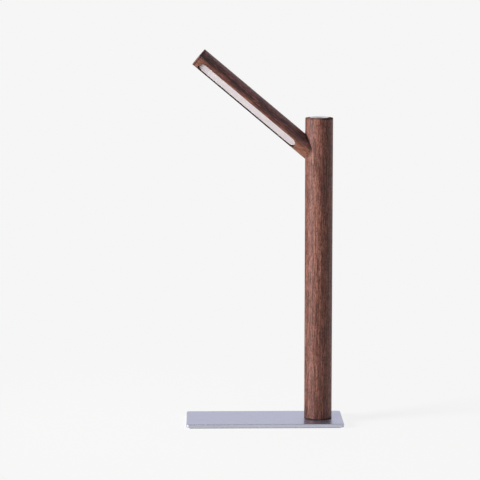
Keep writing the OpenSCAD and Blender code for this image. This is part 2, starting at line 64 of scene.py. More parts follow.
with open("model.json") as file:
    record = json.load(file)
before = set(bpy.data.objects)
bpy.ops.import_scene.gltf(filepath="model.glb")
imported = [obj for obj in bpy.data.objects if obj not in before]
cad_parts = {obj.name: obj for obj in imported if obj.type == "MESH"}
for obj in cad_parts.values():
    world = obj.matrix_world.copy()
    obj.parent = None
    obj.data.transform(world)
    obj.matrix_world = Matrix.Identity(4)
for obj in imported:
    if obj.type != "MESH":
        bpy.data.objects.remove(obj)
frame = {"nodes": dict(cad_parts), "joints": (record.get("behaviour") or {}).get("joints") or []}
cad_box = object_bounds()
nodes = frame["nodes"]
joints = {joint["name"]: joint for joint in frame["joints"]}

# %% [markdown]
# Camera
#
# The lamp is seen from the front with a long lens, a little from above, so its upright lines stay
# nearly upright. A view can be framed by eye, but here the place, the tilt and the lens were found by
# fitting the edges of the post, the arm and the plate together. The camera is tilted and its lens
# isn't shifted, so that any other view keeps the lamp in the middle of the frame.

# %% Place the camera
CAMERA_PLACE = Vector((-68.0, -2220.6, 481.5)) * MM
CAMERA_PITCH = math.radians(7.209)
CAMERA_YAW = math.radians(1.066)
CAMERA_LENS = 155.36
SENSOR_WIDTH = 36.0


def into_scene(name, data):
    """Makes an object of some data and puts it in the scene."""
    made = bpy.data.objects.new(name, data)
    bpy.context.scene.collection.objects.link(made)
    return made


camera = into_scene("camera", bpy.data.cameras.new("camera"))
camera.data.lens = CAMERA_LENS
camera.data.sensor_width = SENSOR_WIDTH
camera.location = CAMERA_PLACE
camera.rotation_euler = (math.pi / 2 - CAMERA_PITCH, 0.0, -CAMERA_YAW)
bpy.context.scene.camera = camera
bpy.context.scene.view_settings.view_transform = "Standard"
print("camera stands", round(camera.location.length, 2), "m away")

# %% [markdown]
# Helpers for nodes
#
# The light and every finish below are trees of shader nodes. They could be wired by hand, one line
# for each link. One helper that adds a node and fills its inputs makes a tree read as a short list:
# an input that is given a socket is linked, and any other value is set on the socket itself.

# %% Node helpers
def add(tree, kind, inputs=(), **settings):
    """Adds one shader node, sets its settings, and links or sets its inputs."""
    made = tree.nodes.new("ShaderNode" + kind)
    for name, value in settings.items():
        setattr(made, name, value)
    for name, value in dict(inputs).items():
        if isinstance(value, bpy.types.NodeSocket):
            tree.links.new(value, made.inputs[name])
        else:
            made.inputs[name].default_value = value
    return made


def maths(tree, operation, *values):
    """One step of arithmetic on values or sockets."""
    return add(tree, "Math", dict(enumerate(values)), operation=operation).outputs[0]


def fade(tree, value, start, end, low=0.0, high=1.0):
    """A smooth step from low to high as value goes from start to end."""
    span = {"Value": value, "From Min": start, "From Max": end, "To Min": low, "To Max": high}
    return add(tree, "MapRange", span, interpolation_type="SMOOTHSTEP").outputs[0]


def parts(tree, vector):
    """The x, y and z of a vector."""
    return add(tree, "SeparateXYZ", {0: vector}).outputs


print("node helpers: add, maths, fade, parts")

# %% [markdown]
# Light
#
# The lamp was lit softly from the left by a tall light near the level of the table, in a white room
# with a dark ceiling: the left of the post is bright, the top of the arm is dark, and the under side
# of the arm glows from the pale table. Walls could be modelled round the lamp, but a world of smooth
# shades does the same with no noise. It has one shade for soft light, one for what the metal mirrors,
# where the camera's side is darker, and one plain white that the camera sees.

# %% World
WHITE = (1.0, 1.0, 1.0, 1.0)
DOME_COLOUR = (1.0, 0.985, 0.98, 1.0)
BACKDROP = 0.92
FLAG = 0.12
# Each shade starts and ends somewhere along one axis, and has a strength at either place
LEFT_FLAG = (-0.70, -0.25, FLAG, 1.0)
REAR_WALL = (0.0, 0.7, 1.0, 2.8)
DOME_HEIGHT = (0.05, 0.75, 0.33, 0.05)
FRONT_WALL = (-0.75, -0.15, 0.40, BACKDROP)
CEILING = (0.80, 0.97, 1.0, 0.25)


def by_ray(tree, soft, mirrored, seen):
    """Shows one shader as soft light, one in reflections and one to the camera."""
    rays = add(tree, "LightPath").outputs
    glossy = maths(tree, "MAXIMUM", rays["Is Glossy Ray"], rays["Is Transmission Ray"])
    shown = add(tree, "MixShader", {0: glossy, 1: soft, 2: mirrored}).outputs[0]
    return add(tree, "MixShader", {0: rays["Is Camera Ray"], 1: shown, 2: seen}).outputs[0]


def glow(tree, colour, strength):
    """A shader for the world."""
    return add(tree, "Background", {"Color": colour, "Strength": strength}).outputs[0]


world = bpy.data.worlds.new("studio")
bpy.context.scene.world = world
world.use_nodes = True
tree = world.node_tree
tree.nodes.clear()
toward = parts(tree, add(tree, "TexCoord").outputs["Generated"])
flag = fade(tree, toward["X"], *LEFT_FLAG)
dome = maths(tree, "MULTIPLY", fade(tree, toward["Z"], *DOME_HEIGHT), fade(tree, toward["Y"], *REAR_WALL))
walls = maths(tree, "MULTIPLY", fade(tree, toward["Y"], *FRONT_WALL), fade(tree, toward["Z"], *CEILING))
shown = by_ray(
    tree,
    glow(tree, DOME_COLOUR, maths(tree, "MULTIPLY", dome, flag)),
    glow(tree, WHITE, maths(tree, "MULTIPLY", walls, flag)),
    glow(tree, WHITE, BACKDROP),
)
add(tree, "OutputWorld", {"Surface": shown})
print("world has", len(tree.nodes), "nodes")

# %% Key light
KEY_PLACE = Vector((-3.9, -1.73, 0.50))
KEY_SIZE = (1.6, 2.7)
KEY_POWER = 283.0
LAMP_MIDDLE = Vector((0.0, 0.0, 0.2))

key = into_scene("key", bpy.data.lights.new("key", "AREA"))
key.data.shape = "RECTANGLE"
key.data.size, key.data.size_y = KEY_SIZE
key.data.energy = KEY_POWER
key.location = KEY_PLACE
key.rotation_euler = (LAMP_MIDDLE - KEY_PLACE).to_track_quat("-Z", "Y").to_euler()
key.visible_camera = False
print("key light stands", round((LAMP_MIDDLE - KEY_PLACE).length, 2), "m away")

# %% [markdown]
# Floor
#
# The table is plain and pale, and runs on into the backdrop without a line. A curved backdrop could
# hide that line, but its shading would show. So the floor is flat: near the lamp it takes some of its
# brightness from the light, which keeps the shadow, and further out the camera sees the same white
# as behind it.

# %% Floor sheet
FLOOR_HALF = 8.0

sheet = bmesh.new()
bmesh.ops.create_grid(sheet, x_segments=1, y_segments=1, size=FLOOR_HALF)
floor = into_scene("floor", bpy.data.meshes.new("floor"))
sheet.to_mesh(floor.data)
sheet.free()
floor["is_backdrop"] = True
print("floor reaches", 2 * FLOOR_HALF, "m")

# %% Floor finish
LIT_FLOOR = (0.14, 0.5, 0.30, 0.0)
FLOOR_LIGHT = 0.30
FLOOR_FLAG = (-0.6, -0.1, FLAG, BACKDROP)


def paint(red, green, blue):
    """A colour as a screen shows it, 0 to 255, turned into the linear values that shaders take."""
    return (*Color((red / 255, green / 255, blue / 255)).from_srgb_to_scene_linear(), 1.0)


FLOOR_COLOUR = paint(236, 234, 232)

floor_finish = bpy.data.materials.new("floor")
floor_finish.use_nodes = True
tree = floor_finish.node_tree
tree.nodes.clear()
place = add(tree, "TexCoord").outputs["Object"]
away = add(tree, "VectorMath", {0: place}, operation="LENGTH").outputs["Value"]
lit_share = fade(tree, away, *LIT_FLOOR)
own_light = maths(tree, "MULTIPLY_ADD", lit_share, -FLOOR_LIGHT, BACKDROP)
lit = add(tree, "BsdfDiffuse", {"Color": lit_share}).outputs[0]
white = add(tree, "Emission", {"Color": WHITE, "Strength": own_light}).outputs[0]
seen = add(tree, "AddShader", {0: lit, 1: white}).outputs[0]
soft = add(tree, "BsdfDiffuse", {"Color": FLOOR_COLOUR}).outputs[0]
mirrored_light = fade(tree, parts(tree, place)["X"], *FLOOR_FLAG)
mirrored = add(tree, "Emission", {"Color": WHITE, "Strength": mirrored_light}).outputs[0]
add(tree, "OutputMaterial", {"Surface": by_ray(tree, soft, mirrored, seen)})
floor.data.materials.append(floor_finish)
print("floor finish has", len(tree.nodes), "nodes")

# %% [markdown]
# Helpers for patterns
#
# Wood, metal and plastic all get their detail from noise. A photograph of the surface would be an
# easy other way, but it has one size and shows a seam. Noise that is read in the object's own space
# goes right through a piece, so a cut or a hole shows the same stuff inside.

# %% Pattern helpers
def stretch(tree, vector, scale, move=(0.0, 0.0, 0.0)):
    """A pattern's coordinates, scaled along each axis and then moved."""
    return add(tree, "Mapping", {"Vector": vector, "Scale": scale, "Location": move}).outputs[0]


def noise(tree, vector, scale, detail, roughness=0.5):
    """Cloudy noise from 0 to 1."""
    settings = {"Vector": vector, "Scale": scale, "Detail": detail, "Roughness": roughness}
    return add(tree, "TexNoise", settings).outputs["Fac"]


def mix(tree, factor, first, second, blend_type="MIX"):
    """Two colours mixed by a factor."""
    colours = {0: factor, 6: first, 7: second}
    return add(tree, "Mix", colours, data_type="RGBA", blend_type=blend_type).outputs[2]


def ramp(tree, factor, stops):
    """A row of colours, each at its place between 0 and 1."""
    made = add(tree, "ValToRGB", {"Fac": factor})
    elements = made.color_ramp.elements
    for element, (place, colour) in zip(elements, (stops[0], stops[-1])):
        element.position = place
        element.color = colour
    for place, colour in stops[1:-1]:
        elements.new(place).color = colour
    return made.outputs["Color"]


print("pattern helpers: stretch, noise, mix, ramp")

# %% Group helpers
def new_group(name, inputs, outputs):
    """An empty node group, with the sockets of its inside ends."""
    tree = bpy.data.node_groups.new(name, "ShaderNodeTree")
    for label, kind in inputs.items():
        tree.interface.new_socket(label, in_out="INPUT", socket_type="NodeSocket" + kind)
    for label, kind in outputs.items():
        tree.interface.new_socket(label, in_out="OUTPUT", socket_type="NodeSocket" + kind)
    ends = tree.nodes.new("NodeGroupInput"), tree.nodes.new("NodeGroupOutput")
    return tree, ends[0].outputs, ends[1].inputs


def feed(tree, sockets, **values):
    """Links each value to the socket of that name."""
    for label, value in values.items():
        tree.links.new(value, sockets[label.replace("_", " ")])


print("group helpers: new_group, feed")

# %% [markdown]
# Walnut patterns
#
# Walnut has growth rings, fibres in long streaks, slow bands of colour, and open pores that read as
# fine dark dashes and stand in clumps. Each could be painted, but all of them are the same thing at
# other sizes: noise drawn out along the stick, with z as its long direction. So one table gives each
# its scale, its squeeze along z, its detail and its roughness, and moves the threads aside, so that
# they don't follow the rest. The cut ends then show end grain by themselves, with no second pattern
# to join up.

# %% Walnut patterns
NOISE_MEAN = 0.5
PITH = (0.052, 0.034, 0.0)
SWAY_SCALE = (16.0, 16.0, 5.0)
SWAY = 8.0 * MM
RINGS = {"Scale": 70.0, "Distortion": 2.4, "Detail": 3.0, "Detail Scale": 1.4}
RING_SQUEEZE = 0.06
GRAIN = {
    "streaks": (520.0, 0.035, 4.0, 0.60),
    "flecks": (820.0, 0.110, 4.0, 0.60),
    "fibres": (2400.0, 0.030, 3.0, 0.60),
    "bands": (95.0, 0.100, 2.0, 0.50),
    "dashes": (1300.0, 0.120, 2.0, 0.50),
    "pricks": (3000.0, 0.050, 2.0, 0.50),
    "clumps": (1000.0, 0.400, 1.0, 0.50),
    "threads": (640.0, 0.020, 2.0, 0.50, PITH),
    "rosy": (210.0, 0.050, 2.0, 0.50),
    "lines": (850.0, 0.030, 4.0, 0.65),
}


def drawn_out(tree, place, scale, squeeze, detail, roughness, move=(0.0, 0.0, 0.0)):
    """Noise that is drawn out along z, as wood is along its fibres."""
    return noise(tree, stretch(tree, place, (1.0, 1.0, squeeze), move), scale, detail, roughness)


def swaying(tree, vector):
    """Coordinates that sway slowly, because no tree grows quite straight."""
    slow = add(tree, "TexNoise", {"Vector": stretch(tree, vector, SWAY_SCALE), "Scale": 1.0})
    lean = {0: slow.outputs["Color"], 1: (NOISE_MEAN, NOISE_MEAN, NOISE_MEAN)}
    lean = add(tree, "VectorMath", lean, operation="SUBTRACT").outputs[0]
    lean = add(tree, "VectorMath", {0: lean, "Scale": SWAY}, operation="SCALE").outputs[0]
    return add(tree, "VectorMath", {0: vector, 1: lean}).outputs[0]


def growth_rings(tree, place):
    """Rings round the pith, with a slow rise and a quick fall as a year has."""
    settings = {"Vector": stretch(tree, place, (1.0, 1.0, RING_SQUEEZE), PITH), **RINGS}
    kind = {"wave_type": "RINGS", "rings_direction": "Z", "wave_profile": "SAW"}
    return add(tree, "TexWave", settings, **kind).outputs["Fac"]


print("walnut patterns:", ", ".join(GRAIN))

# %% [markdown]
# Walnut group
#
# Both sticks are turned from walnut, so the wood is one node group that each places in its own way.
# First the patterns are summed to one tone, which a ramp turns into browns. A tone alone would leave a
# single hue, so tan threads, rosy bands and pale and dark lines are then mixed in as colours. The pores
# come last, with the tints of heartwood and sapwood, where the heartwood tint is partly a painted sheen,
# and a painted shade that darkens recesses, seams and rims.

# %% Walnut tone and pores
TONE_SHARES = {"streaks": 0.6, "fibres": 0.35, "bands": 0.40, "clumps": 0.5}
LATE_WOOD = (0.72, 0.98, 0.0, -0.12)
TONE_ZERO = 0.13
CLUMPING = -1.4
DASH_PORES = (0.56, 0.66)
PRICK_PORES = (0.58, 0.66, 0.0, 0.8)


def walnut_tone(tree, given, grain, place):
    """The sum of the patterns, from dark to pale."""
    tone = given["Tone"]
    for name, share in {**TONE_SHARES, "flecks": given["Fleck"]}.items():
        tone = maths(tree, "MULTIPLY_ADD", grain[name], share, tone)
    tone = maths(tree, "ADD", fade(tree, growth_rings(tree, place), *LATE_WOOD), tone)
    return maths(tree, "SUBTRACT", tone, TONE_ZERO)


def walnut_pores(tree, grain):
    """A mask of the open pores: dashes, and fine pricks that stand in clumps."""
    pricks = maths(tree, "MULTIPLY_ADD", grain["clumps"], CLUMPING, grain["pricks"])
    dashes = fade(tree, grain["dashes"], *DASH_PORES)
    return maths(tree, "MAXIMUM", dashes, fade(tree, pricks, *PRICK_PORES))


print("tone is summed from", ", ".join(TONE_SHARES), "and flecks")

# %% Walnut group
BROWNS = (
    (0.02, paint(44, 22, 18)),
    (0.30, paint(94, 50, 38)),
    (0.52, paint(134, 79, 62)),
    (0.92, paint(184, 124, 106)),
)
TINTS = (
    ("threads", (0.56, 0.72, 0.0, 0.50), paint(172, 122, 84)),
    ("rosy", (0.52, 0.70, 0.0, 0.40), paint(136, 84, 80)),
    ("lines", (0.51, 0.62, 0.0, 0.42), paint(208, 146, 128)),
    ("lines", (0.49, 0.38, 0.0, 0.50), paint(40, 23, 22)),
)
PORE_COLOUR = paint(40, 22, 19)
PORE_SHARE = 0.66
# Painted shade colour, mixed in wherever the sticks send their painted shade
PAINTED_SHADE_COLOUR = paint(20, 13, 12)
# Heartwood's mauve tint, which on the arm's top also stands in for a painted sheen
HEARTWOOD_AND_SHEEN = (0.72, 0.66, 0.95, 1.0)
SAPWOOD = (1.0, 0.91, 0.69, 1.0)
OIL_ROUGHNESS = 0.44
PORE_ROUGHNESS = 0.16
PAINTED_SHADE_ROUGHNESS = 0.5
FIBRE_ROUGHNESS = 0.10
FIBRE_RELIEF = 0.25
WALNUT_SHADES = ("Tone", "Fleck", "Heart_and_sheen", "Sap", "Painted_shade")


def make_walnut_grain():
    """The node group of the wood, with its grain along z."""
    inputs = {"Vector": "Vector", **dict.fromkeys(WALNUT_SHADES, "Float")}
    outputs = {"Color": "Color", "Roughness": "Float", "Height": "Float"}
    tree, given, wanted = new_group("walnut_grain", inputs, outputs)
    place = swaying(tree, given["Vector"])
    grain = {name: drawn_out(tree, place, *values) for name, values in GRAIN.items()}
    for name in ("flecks", "clumps"):
        grain[name] = maths(tree, "SUBTRACT", grain[name], NOISE_MEAN)
    pores = walnut_pores(tree, grain)

    colour = ramp(tree, walnut_tone(tree, given, grain, place), BROWNS)
    for name, shade, tint in TINTS:
        colour = mix(tree, fade(tree, grain[name], *shade), colour, tint)
    colour = mix(tree, maths(tree, "MULTIPLY", pores, PORE_SHARE), colour, PORE_COLOUR)
    # Heartwood tint, partly a painted sheen
    colour = mix(tree, given["Heart_and_sheen"], colour, HEARTWOOD_AND_SHEEN, "MULTIPLY")
    colour = mix(tree, given["Sap"], colour, SAPWOOD, "MULTIPLY")
    # Painted shade of recesses, seams and rims, and the arm's dark end line, mixed into the colour
    colour = mix(tree, given["Painted_shade"], colour, PAINTED_SHADE_COLOUR)

    rough = maths(tree, "MULTIPLY_ADD", pores, PORE_ROUGHNESS, OIL_ROUGHNESS)
    rough = maths(tree, "MULTIPLY_ADD", given["Painted_shade"], PAINTED_SHADE_ROUGHNESS, rough)
    rough = maths(tree, "MULTIPLY_ADD", grain["fibres"], FIBRE_ROUGHNESS, rough)
    closed = maths(tree, "SUBTRACT", 1.0, pores)
    relief = maths(tree, "MULTIPLY_ADD", grain["fibres"], FIBRE_RELIEF, closed)
    feed(tree, wanted, Color=colour, Roughness=rough, Height=relief)
    return tree


walnut_grain = make_walnut_grain()
print("walnut grain has", len(walnut_grain.nodes), "nodes")

# %% [markdown]
# Frames of the two sticks
#
# The grain runs along z, but the arm slants. The pattern could be turned by hand for each stick. The
# joint already knows the arm's axis, so a Mapping node of the Texture kind takes each point back into
# the stick's own frame, with z along the stick, and the grain follows by itself. The places of the
# shades below are then plain millimetres across and along a stick.

# %% Stick frames
UP = Vector((0.0, 0.0, 1.0))

post_low, post_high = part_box("post")
post_axis = (post_low + post_high) / 2
arm_pivot = Vector(joints["arm_twist"]["pos_m"])
arm_axis = Vector(joints["arm_twist"]["axis"])
POST_FRAME = {"Location": (post_axis.x, post_axis.y, 0.0)}
ARM_FRAME = {"Location": arm_pivot, "Rotation": UP.rotation_difference(arm_axis).to_euler()}


def in_frame(tree, place, stick):
    """Coordinates in the frame of a stick, with z along it."""
    return add(tree, "Mapping", {"Vector": place, **stick}, vector_type="TEXTURE").outputs[0]


print("arm leans", round(math.degrees(UP.angle(arm_axis)), 1), "degrees from upright")

# %% [markdown]
# Grain of the post
#
# The post is painted darker on its right and towards its foot, as painted shade, with a pale streak up
# its front and a dark one beside it. Painted shade also makes a dark line round the arm's hole, at the
# foot and under the rim. A mask could be painted for each. Here each is a fade across or along the stick,
# which needs no map and stays in its place when the post changes.

# %% Painted shade round the arm
ARM_PLAY = 0.3
arm_points = [point.co - arm_pivot for point in nodes["arm_stick"].data.vertices]
ARM_RADIUS = max(point.cross(arm_axis).length for point in arm_points) / MM
MORTISE = ARM_RADIUS + ARM_PLAY
# Each shade starts and ends at a place in millimetres, and has a strength at either
# Painted shade: a dark line on the post round the arm's hole, where shade falls in the crevice
SEAM_SHADE = (MORTISE + 1.2, MORTISE + 2.4, 1.0, 0.0)
SEAM_SHADE_LIMITS = {"Z": (8.0, 12.0), "X": (-4.0, 4.0, 0.2, 1.0), "Y": (0.0, 6.0, 1.0, 0.35)}


def ease(tree, value, start, end, low=0.0, high=1.0):
    """A fade that starts and ends at places in millimetres."""
    return fade(tree, value, start * MM, end * MM, low, high)


def from_axis(tree, local):
    """How far a point is from the z axis."""
    flat = {0: local, 1: (1.0, 1.0, 0.0)}
    across = add(tree, "VectorMath", flat, operation="MULTIPLY").outputs[0]
    return add(tree, "VectorMath", {0: across}, operation="LENGTH").outputs["Value"]


def painted_seam_shade(tree, place):
    """The painted shade on the post round the hole of the arm, strongest above and in front."""
    local = in_frame(tree, place, ARM_FRAME)
    part = parts(tree, local)
    seam = ease(tree, from_axis(tree, local), *SEAM_SHADE)
    for axis, limit in SEAM_SHADE_LIMITS.items():
        seam = maths(tree, "MULTIPLY", seam, ease(tree, part[axis], *limit))
    return seam


print("arm is", round(2 * ARM_RADIUS, 2), "mm thick, its hole", round(2 * MORTISE, 2), "mm wide")

# %% Post grain
POST_FOOT = post_low.z / MM
POST_TOP = post_high.z / MM
POST_FLECK = 1.5
POST_SWAY = (60.0, 0.15, 3.0, 0.5)
POST_SWAY_REACH = 12.0 * MM
# Shades in millimetres as before, where a streak also has the place of its middle, first
# Painted shade: the right side of the post and its lower part are painted darker
PAINTED_SHADE_SIDE = (2.0, 14.0, 0.0, -0.08)
PAINTED_SHADE_FOOT = (80.0, 220.0, -0.05, 0.0)
PALE_STREAK = (2.5, 0.5, 5.0, 0.23, 0.0)
PALE_STREAK_RISE = (120.0, 200.0)
DARK_STREAK = (10.0, 0.5, 2.6, -0.16, 0.0)
DARK_STREAK_RISE = (240.0, 290.0)
# Painted shadow at the foot where the post meets the plate, and painted shade under the top rim, stronger
# on the right
PAINTED_FOOT_SHADOW = (POST_FOOT + 0.5, POST_FOOT + 1.7, 0.85, 0.0)
PAINTED_RIM_SHADE = (POST_TOP - 2.2, POST_TOP - 1.2, 0.0, 0.7)
PAINTED_RIM_SIDE = (-6.0, 8.0, 0.3, 1.0)


def streak(tree, value, middle, *shade):
    """A shade that is strongest at its middle and fades to both sides of it."""
    off = maths(tree, "ABSOLUTE", maths(tree, "SUBTRACT", value, middle * MM))
    return ease(tree, off, *shade)


def post_grain(tree, place):
    """What the walnut of the post is given: its place, its tone with its painted shade and streaks, and
    its painted shade lines.
    """
    local = in_frame(tree, place, POST_FRAME)
    part = parts(tree, local)
    drift = maths(tree, "MULTIPLY_ADD", drawn_out(tree, local, *POST_SWAY), POST_SWAY_REACH, part["X"])
    # Painted shade: darker on the right side and towards the foot
    tone = maths(tree, "ADD", ease(tree, drift, *PAINTED_SHADE_SIDE), ease(tree, part["Z"], *PAINTED_SHADE_FOOT))
    pale = streak(tree, drift, *PALE_STREAK)
    tone = maths(tree, "MULTIPLY_ADD", pale, ease(tree, part["Z"], *PALE_STREAK_RISE), tone)
    dark = streak(tree, part["X"], *DARK_STREAK)
    tone = maths(tree, "MULTIPLY_ADD", dark, ease(tree, part["Z"], *DARK_STREAK_RISE), tone)
    # Painted shade under the top rim, stronger on the right
    rim = maths(tree, "MULTIPLY", ease(tree, part["Z"], *PAINTED_RIM_SHADE), ease(tree, part["X"], *PAINTED_RIM_SIDE))
    # Painted shadow: a dark line at the foot of the post
    foot = ease(tree, part["Z"], *PAINTED_FOOT_SHADOW)
    # All the painted shade of the post: round the arm's hole, at the foot and under the rim
    painted_shade = maths(tree, "MAXIMUM", maths(tree, "MAXIMUM", painted_seam_shade(tree, place), foot), rim)
    return {"Vector": local, "Tone": tone, "Fleck": POST_FLECK, "Painted_shade": painted_shade}


print("post runs from", round(POST_FOOT, 1), "to", round(POST_TOP, 1), "mm")

# %% [markdown]
# Grain of the arm
#
# The arm was cut where heartwood meets sapwood: mauve and dark on top, warm underneath, with dark patches
# along the border. Two materials could meet there, but wood has no such edge, so the tints fade into each
# other across the stick, and noise makes the border wander. The dark on top is partly painted shade and
# the mauve partly a painted sheen; a painted highlight runs along the top edge, and painted light lies
# under the arm near the post. The walls of the routed groove are painted dark as painted shade, and a
# dark line runs round the stick close to its end.

# %% Arm shade and end line
def along_arm(node):
    """Where a solid starts and ends along the arm, in millimetres from the pivot."""
    places = [(point.co - arm_pivot).dot(arm_axis) / MM for point in nodes[node].data.vertices]
    return min(places), max(places)


ARM_END = along_arm("arm_stick")[1]
COVER_GAP = 0.05
# Shades in millimetres, as on the post
# Painted shade: the walls of the slot are darkened, where shade falls in the recess beside the cover
GROOVE_SHADE = (ARM_RADIUS - 0.14, ARM_RADIUS - 0.03, 1.0, 0.0)
GROOVE_SHADE_END = 0.4
END_LINE_STARTS = (ARM_END - 2.8, ARM_END - 1.9, 0.0, 0.55)
END_LINE_ENDS = (ARM_END - 1.2, ARM_END - 0.5, 1.0, 0.0)


def arm_shade_and_end_line(tree, local, part):
    """The painted shade on the walls of the groove, and the dark line close to the end."""
    # Painted shade in the groove, stopped at the ends of the cover
    groove = ease(tree, from_axis(tree, local), *GROOVE_SHADE)
    for cover_end, side in zip(along_arm("diffuser"), (-1, 1)):
        end = cover_end + side * COVER_GAP
        inside = ease(tree, part["Z"], end, end + side * GROOVE_SHADE_END, 1.0, 0.0)
        groove = maths(tree, "MULTIPLY", groove, inside)
    start, stop = (ease(tree, part["Z"], *shade) for shade in (END_LINE_STARTS, END_LINE_ENDS))
    return maths(tree, "MAXIMUM", groove, maths(tree, "MULTIPLY", start, stop))


print("arm ends", round(ARM_END, 1), "mm from its pivot")

# %% Arm grain
ARM_CUT = (0.37, 0.11, 0.23)
ARM_FLECK = 1.6
ARM_SWAY = (130.0, 0.12, 3.0, 0.6)
ARM_SWAY_REACH = 10.0 * MM
PATCHES = (120.0, 0.5, 3.0, 0.6, ARM_CUT)
PATCH_SHADE = (0.42, 0.58, -0.42, 0.50)
SAP_LOSS = -0.9
# Shades in millimetres, as on the post
PATCH_SIDE = (-1.5, 4.0, 0.12, 1.0)
NEAR_END = (ARM_END - 10.0, ARM_END - 2.0)
HEART_AND_SHEEN = (4.0, 8.0)
SAP = (7.0, 2.0, 0.0, 0.8)
# A dark heartwood band with painted shade: darker over the upper half, a little paler below
DARK_BAND_AND_SHADE = (3.0, -4.0, -0.42, 0.07)
# Painted highlight: a paler line along the top edge of the arm
PAINTED_TOP_HIGHLIGHT = (7.0, 9.2, 0.0, 1.1)
PALE_TIP = (4.5, 8.0, 0.05, 0.5)
# Painted light: the under side of the arm is paler near the post
PAINTED_LIGHT_BELOW = (2.0, -2.0, 0.0, 0.22)
PAINTED_LIGHT_STARTS = (26.0, 34.0)
PAINTED_LIGHT_ENDS = (66.0, 48.0)


def arm_grain(tree, place):
    """What the walnut of the arm is given: its place, its tone with painted shade, highlight and light,
    its tints, and its painted shade.
    """
    local = in_frame(tree, place, ARM_FRAME)
    part = parts(tree, local)
    drift = maths(tree, "MULTIPLY_ADD", drawn_out(tree, local, *ARM_SWAY), ARM_SWAY_REACH, part["X"])
    # Heartwood on the upper side of the arm, its mauve partly a painted sheen
    heart_and_sheen = ease(tree, drift, *HEART_AND_SHEEN)
    near_end = ease(tree, part["Z"], *NEAR_END)
    sap_left = maths(tree, "MULTIPLY_ADD", near_end, SAP_LOSS, 1.0)
    sap = maths(tree, "MULTIPLY", ease(tree, part["X"], *SAP), sap_left)
    # Painted highlight on the top edge, and painted shade with a dark band over the upper half
    tone = maths(tree, "ADD", ease(tree, part["X"], *PAINTED_TOP_HIGHLIGHT), ease(tree, part["X"], *DARK_BAND_AND_SHADE))
    tone = maths(tree, "MULTIPLY_ADD", near_end, ease(tree, part["X"], *PALE_TIP), tone)
    # Painted light under the arm near the post
    below = ease(tree, part["X"], *PAINTED_LIGHT_BELOW)
    below = maths(tree, "MULTIPLY", below, ease(tree, part["Z"], *PAINTED_LIGHT_STARTS))
    tone = maths(tree, "MULTIPLY_ADD", below, ease(tree, part["Z"], *PAINTED_LIGHT_ENDS), tone)
    patches = fade(tree, drawn_out(tree, local, *PATCHES), *PATCH_SHADE)
    tone = maths(tree, "MULTIPLY_ADD", patches, ease(tree, part["X"], *PATCH_SIDE), tone)
    cut = stretch(tree, local, (1.0, 1.0, 1.0), ARM_CUT)
    shades = {"Tone": tone, "Fleck": ARM_FLECK, "Heart_and_sheen": heart_and_sheen, "Sap": sap}
    return {"Vector": cut, **shades, "Painted_shade": arm_shade_and_end_line(tree, local, part)}


print("arm's cover lies between", [round(end, 2) for end in along_arm("diffuser")], "mm")

# %% [markdown]
# Oiled walnut
#
# The sticks have a thin satin oil and no lacquer. A clear coat would give a second, sharper shine
# that oil doesn't have, so there is only the wood's own gloss, broken by the pores. Walnut fibres
# throw back light in their own colour, so the reflection has a warm tint. The relief of the pores is
# far finer than a mesh could carry, so it is a bump.

# %% Walnut materials
FIBRE_SHINE = (1.0, 0.82, 0.84, 1.0)
POST_GLOSS = 0.6
ARM_GLOSS = 0.8
# A relief is a strength and a depth
WOOD_RELIEF = (0.12, 0.3 * MM)


def new_material(name, **values):
    """A material with one Principled shader, whose plain values are set on its sockets."""
    made = bpy.data.materials.new(name)
    made.use_nodes = True
    shader = made.node_tree.nodes["Principled BSDF"]
    for label, value in values.items():
        shader.inputs[label.replace("_", " ")].default_value = value
    place = add(made.node_tree, "TexCoord").outputs["Object"]
    return made, made.node_tree, shader.inputs, place


def bump(tree, height, strength, distance):
    """A normal that leans with a height map."""
    settings = {"Height": height, "Strength": strength, "Distance": distance}
    return add(tree, "Bump", settings).outputs["Normal"]


def oiled_wood(name, gloss, lay_out):
    """A material of oiled walnut, whose grain is laid out by a function."""
    made, tree, shader, place = new_material(name, Specular_IOR_Level=gloss, Specular_Tint=FIBRE_SHINE)
    grain = add(tree, "Group", lay_out(tree, place), node_tree=walnut_grain).outputs
    relief = bump(tree, grain["Height"], *WOOD_RELIEF)
    feed(tree, shader, Base_Color=grain["Color"], Roughness=grain["Roughness"], Normal=relief)
    return made


post_walnut = oiled_wood("post_walnut", POST_GLOSS, post_grain)
arm_walnut = oiled_wood("arm_walnut", ARM_GLOSS, arm_grain)
print("sticks:", post_walnut.name, arm_walnut.name)

# %% [markdown]
# Patterns that metals and plastics share
#
# A finish is mostly what the tool left behind. A belt leaves straight lines, a lathe leaves rings,
# and a mould leaves a fine even grain. Each could be built again in every material. As a node group
# that gives a shade and a height it is built once, and every material uses it with its own values.
# Handling adds a fourth: faint cloudy marks that only change the gloss.

# %% Tool marks
TOOL_SOCKETS = {"Shade": "Float", "Height": "Float"}
FINE_SQUEEZE = (0.02, 1.0, 1.0)
FINE_DETAIL = 4.0
BROAD_SQUEEZE = (0.05, 1.0, 1.0)
BROAD_LINES = (420.0, 2.0)
BROAD_SHARE = 0.4
LATHE_DETAIL = 3.0
MOULD_CLOUD = (180.0, 3.0, 0.6)
CELL_SHARE = 0.5


def make_brushed_lines():
    """Straight lines along x, some fine and some broad."""
    tree, given, wanted = new_group("brushed_lines", {"Vector": "Vector", "Lines": "Float"}, TOOL_SOCKETS)
    fine = noise(tree, stretch(tree, given["Vector"], FINE_SQUEEZE), given["Lines"], FINE_DETAIL)
    broad = noise(tree, stretch(tree, given["Vector"], BROAD_SQUEEZE), *BROAD_LINES)
    feed(tree, wanted, Shade=maths(tree, "MULTIPLY_ADD", broad, BROAD_SHARE, fine), Height=fine)
    return tree


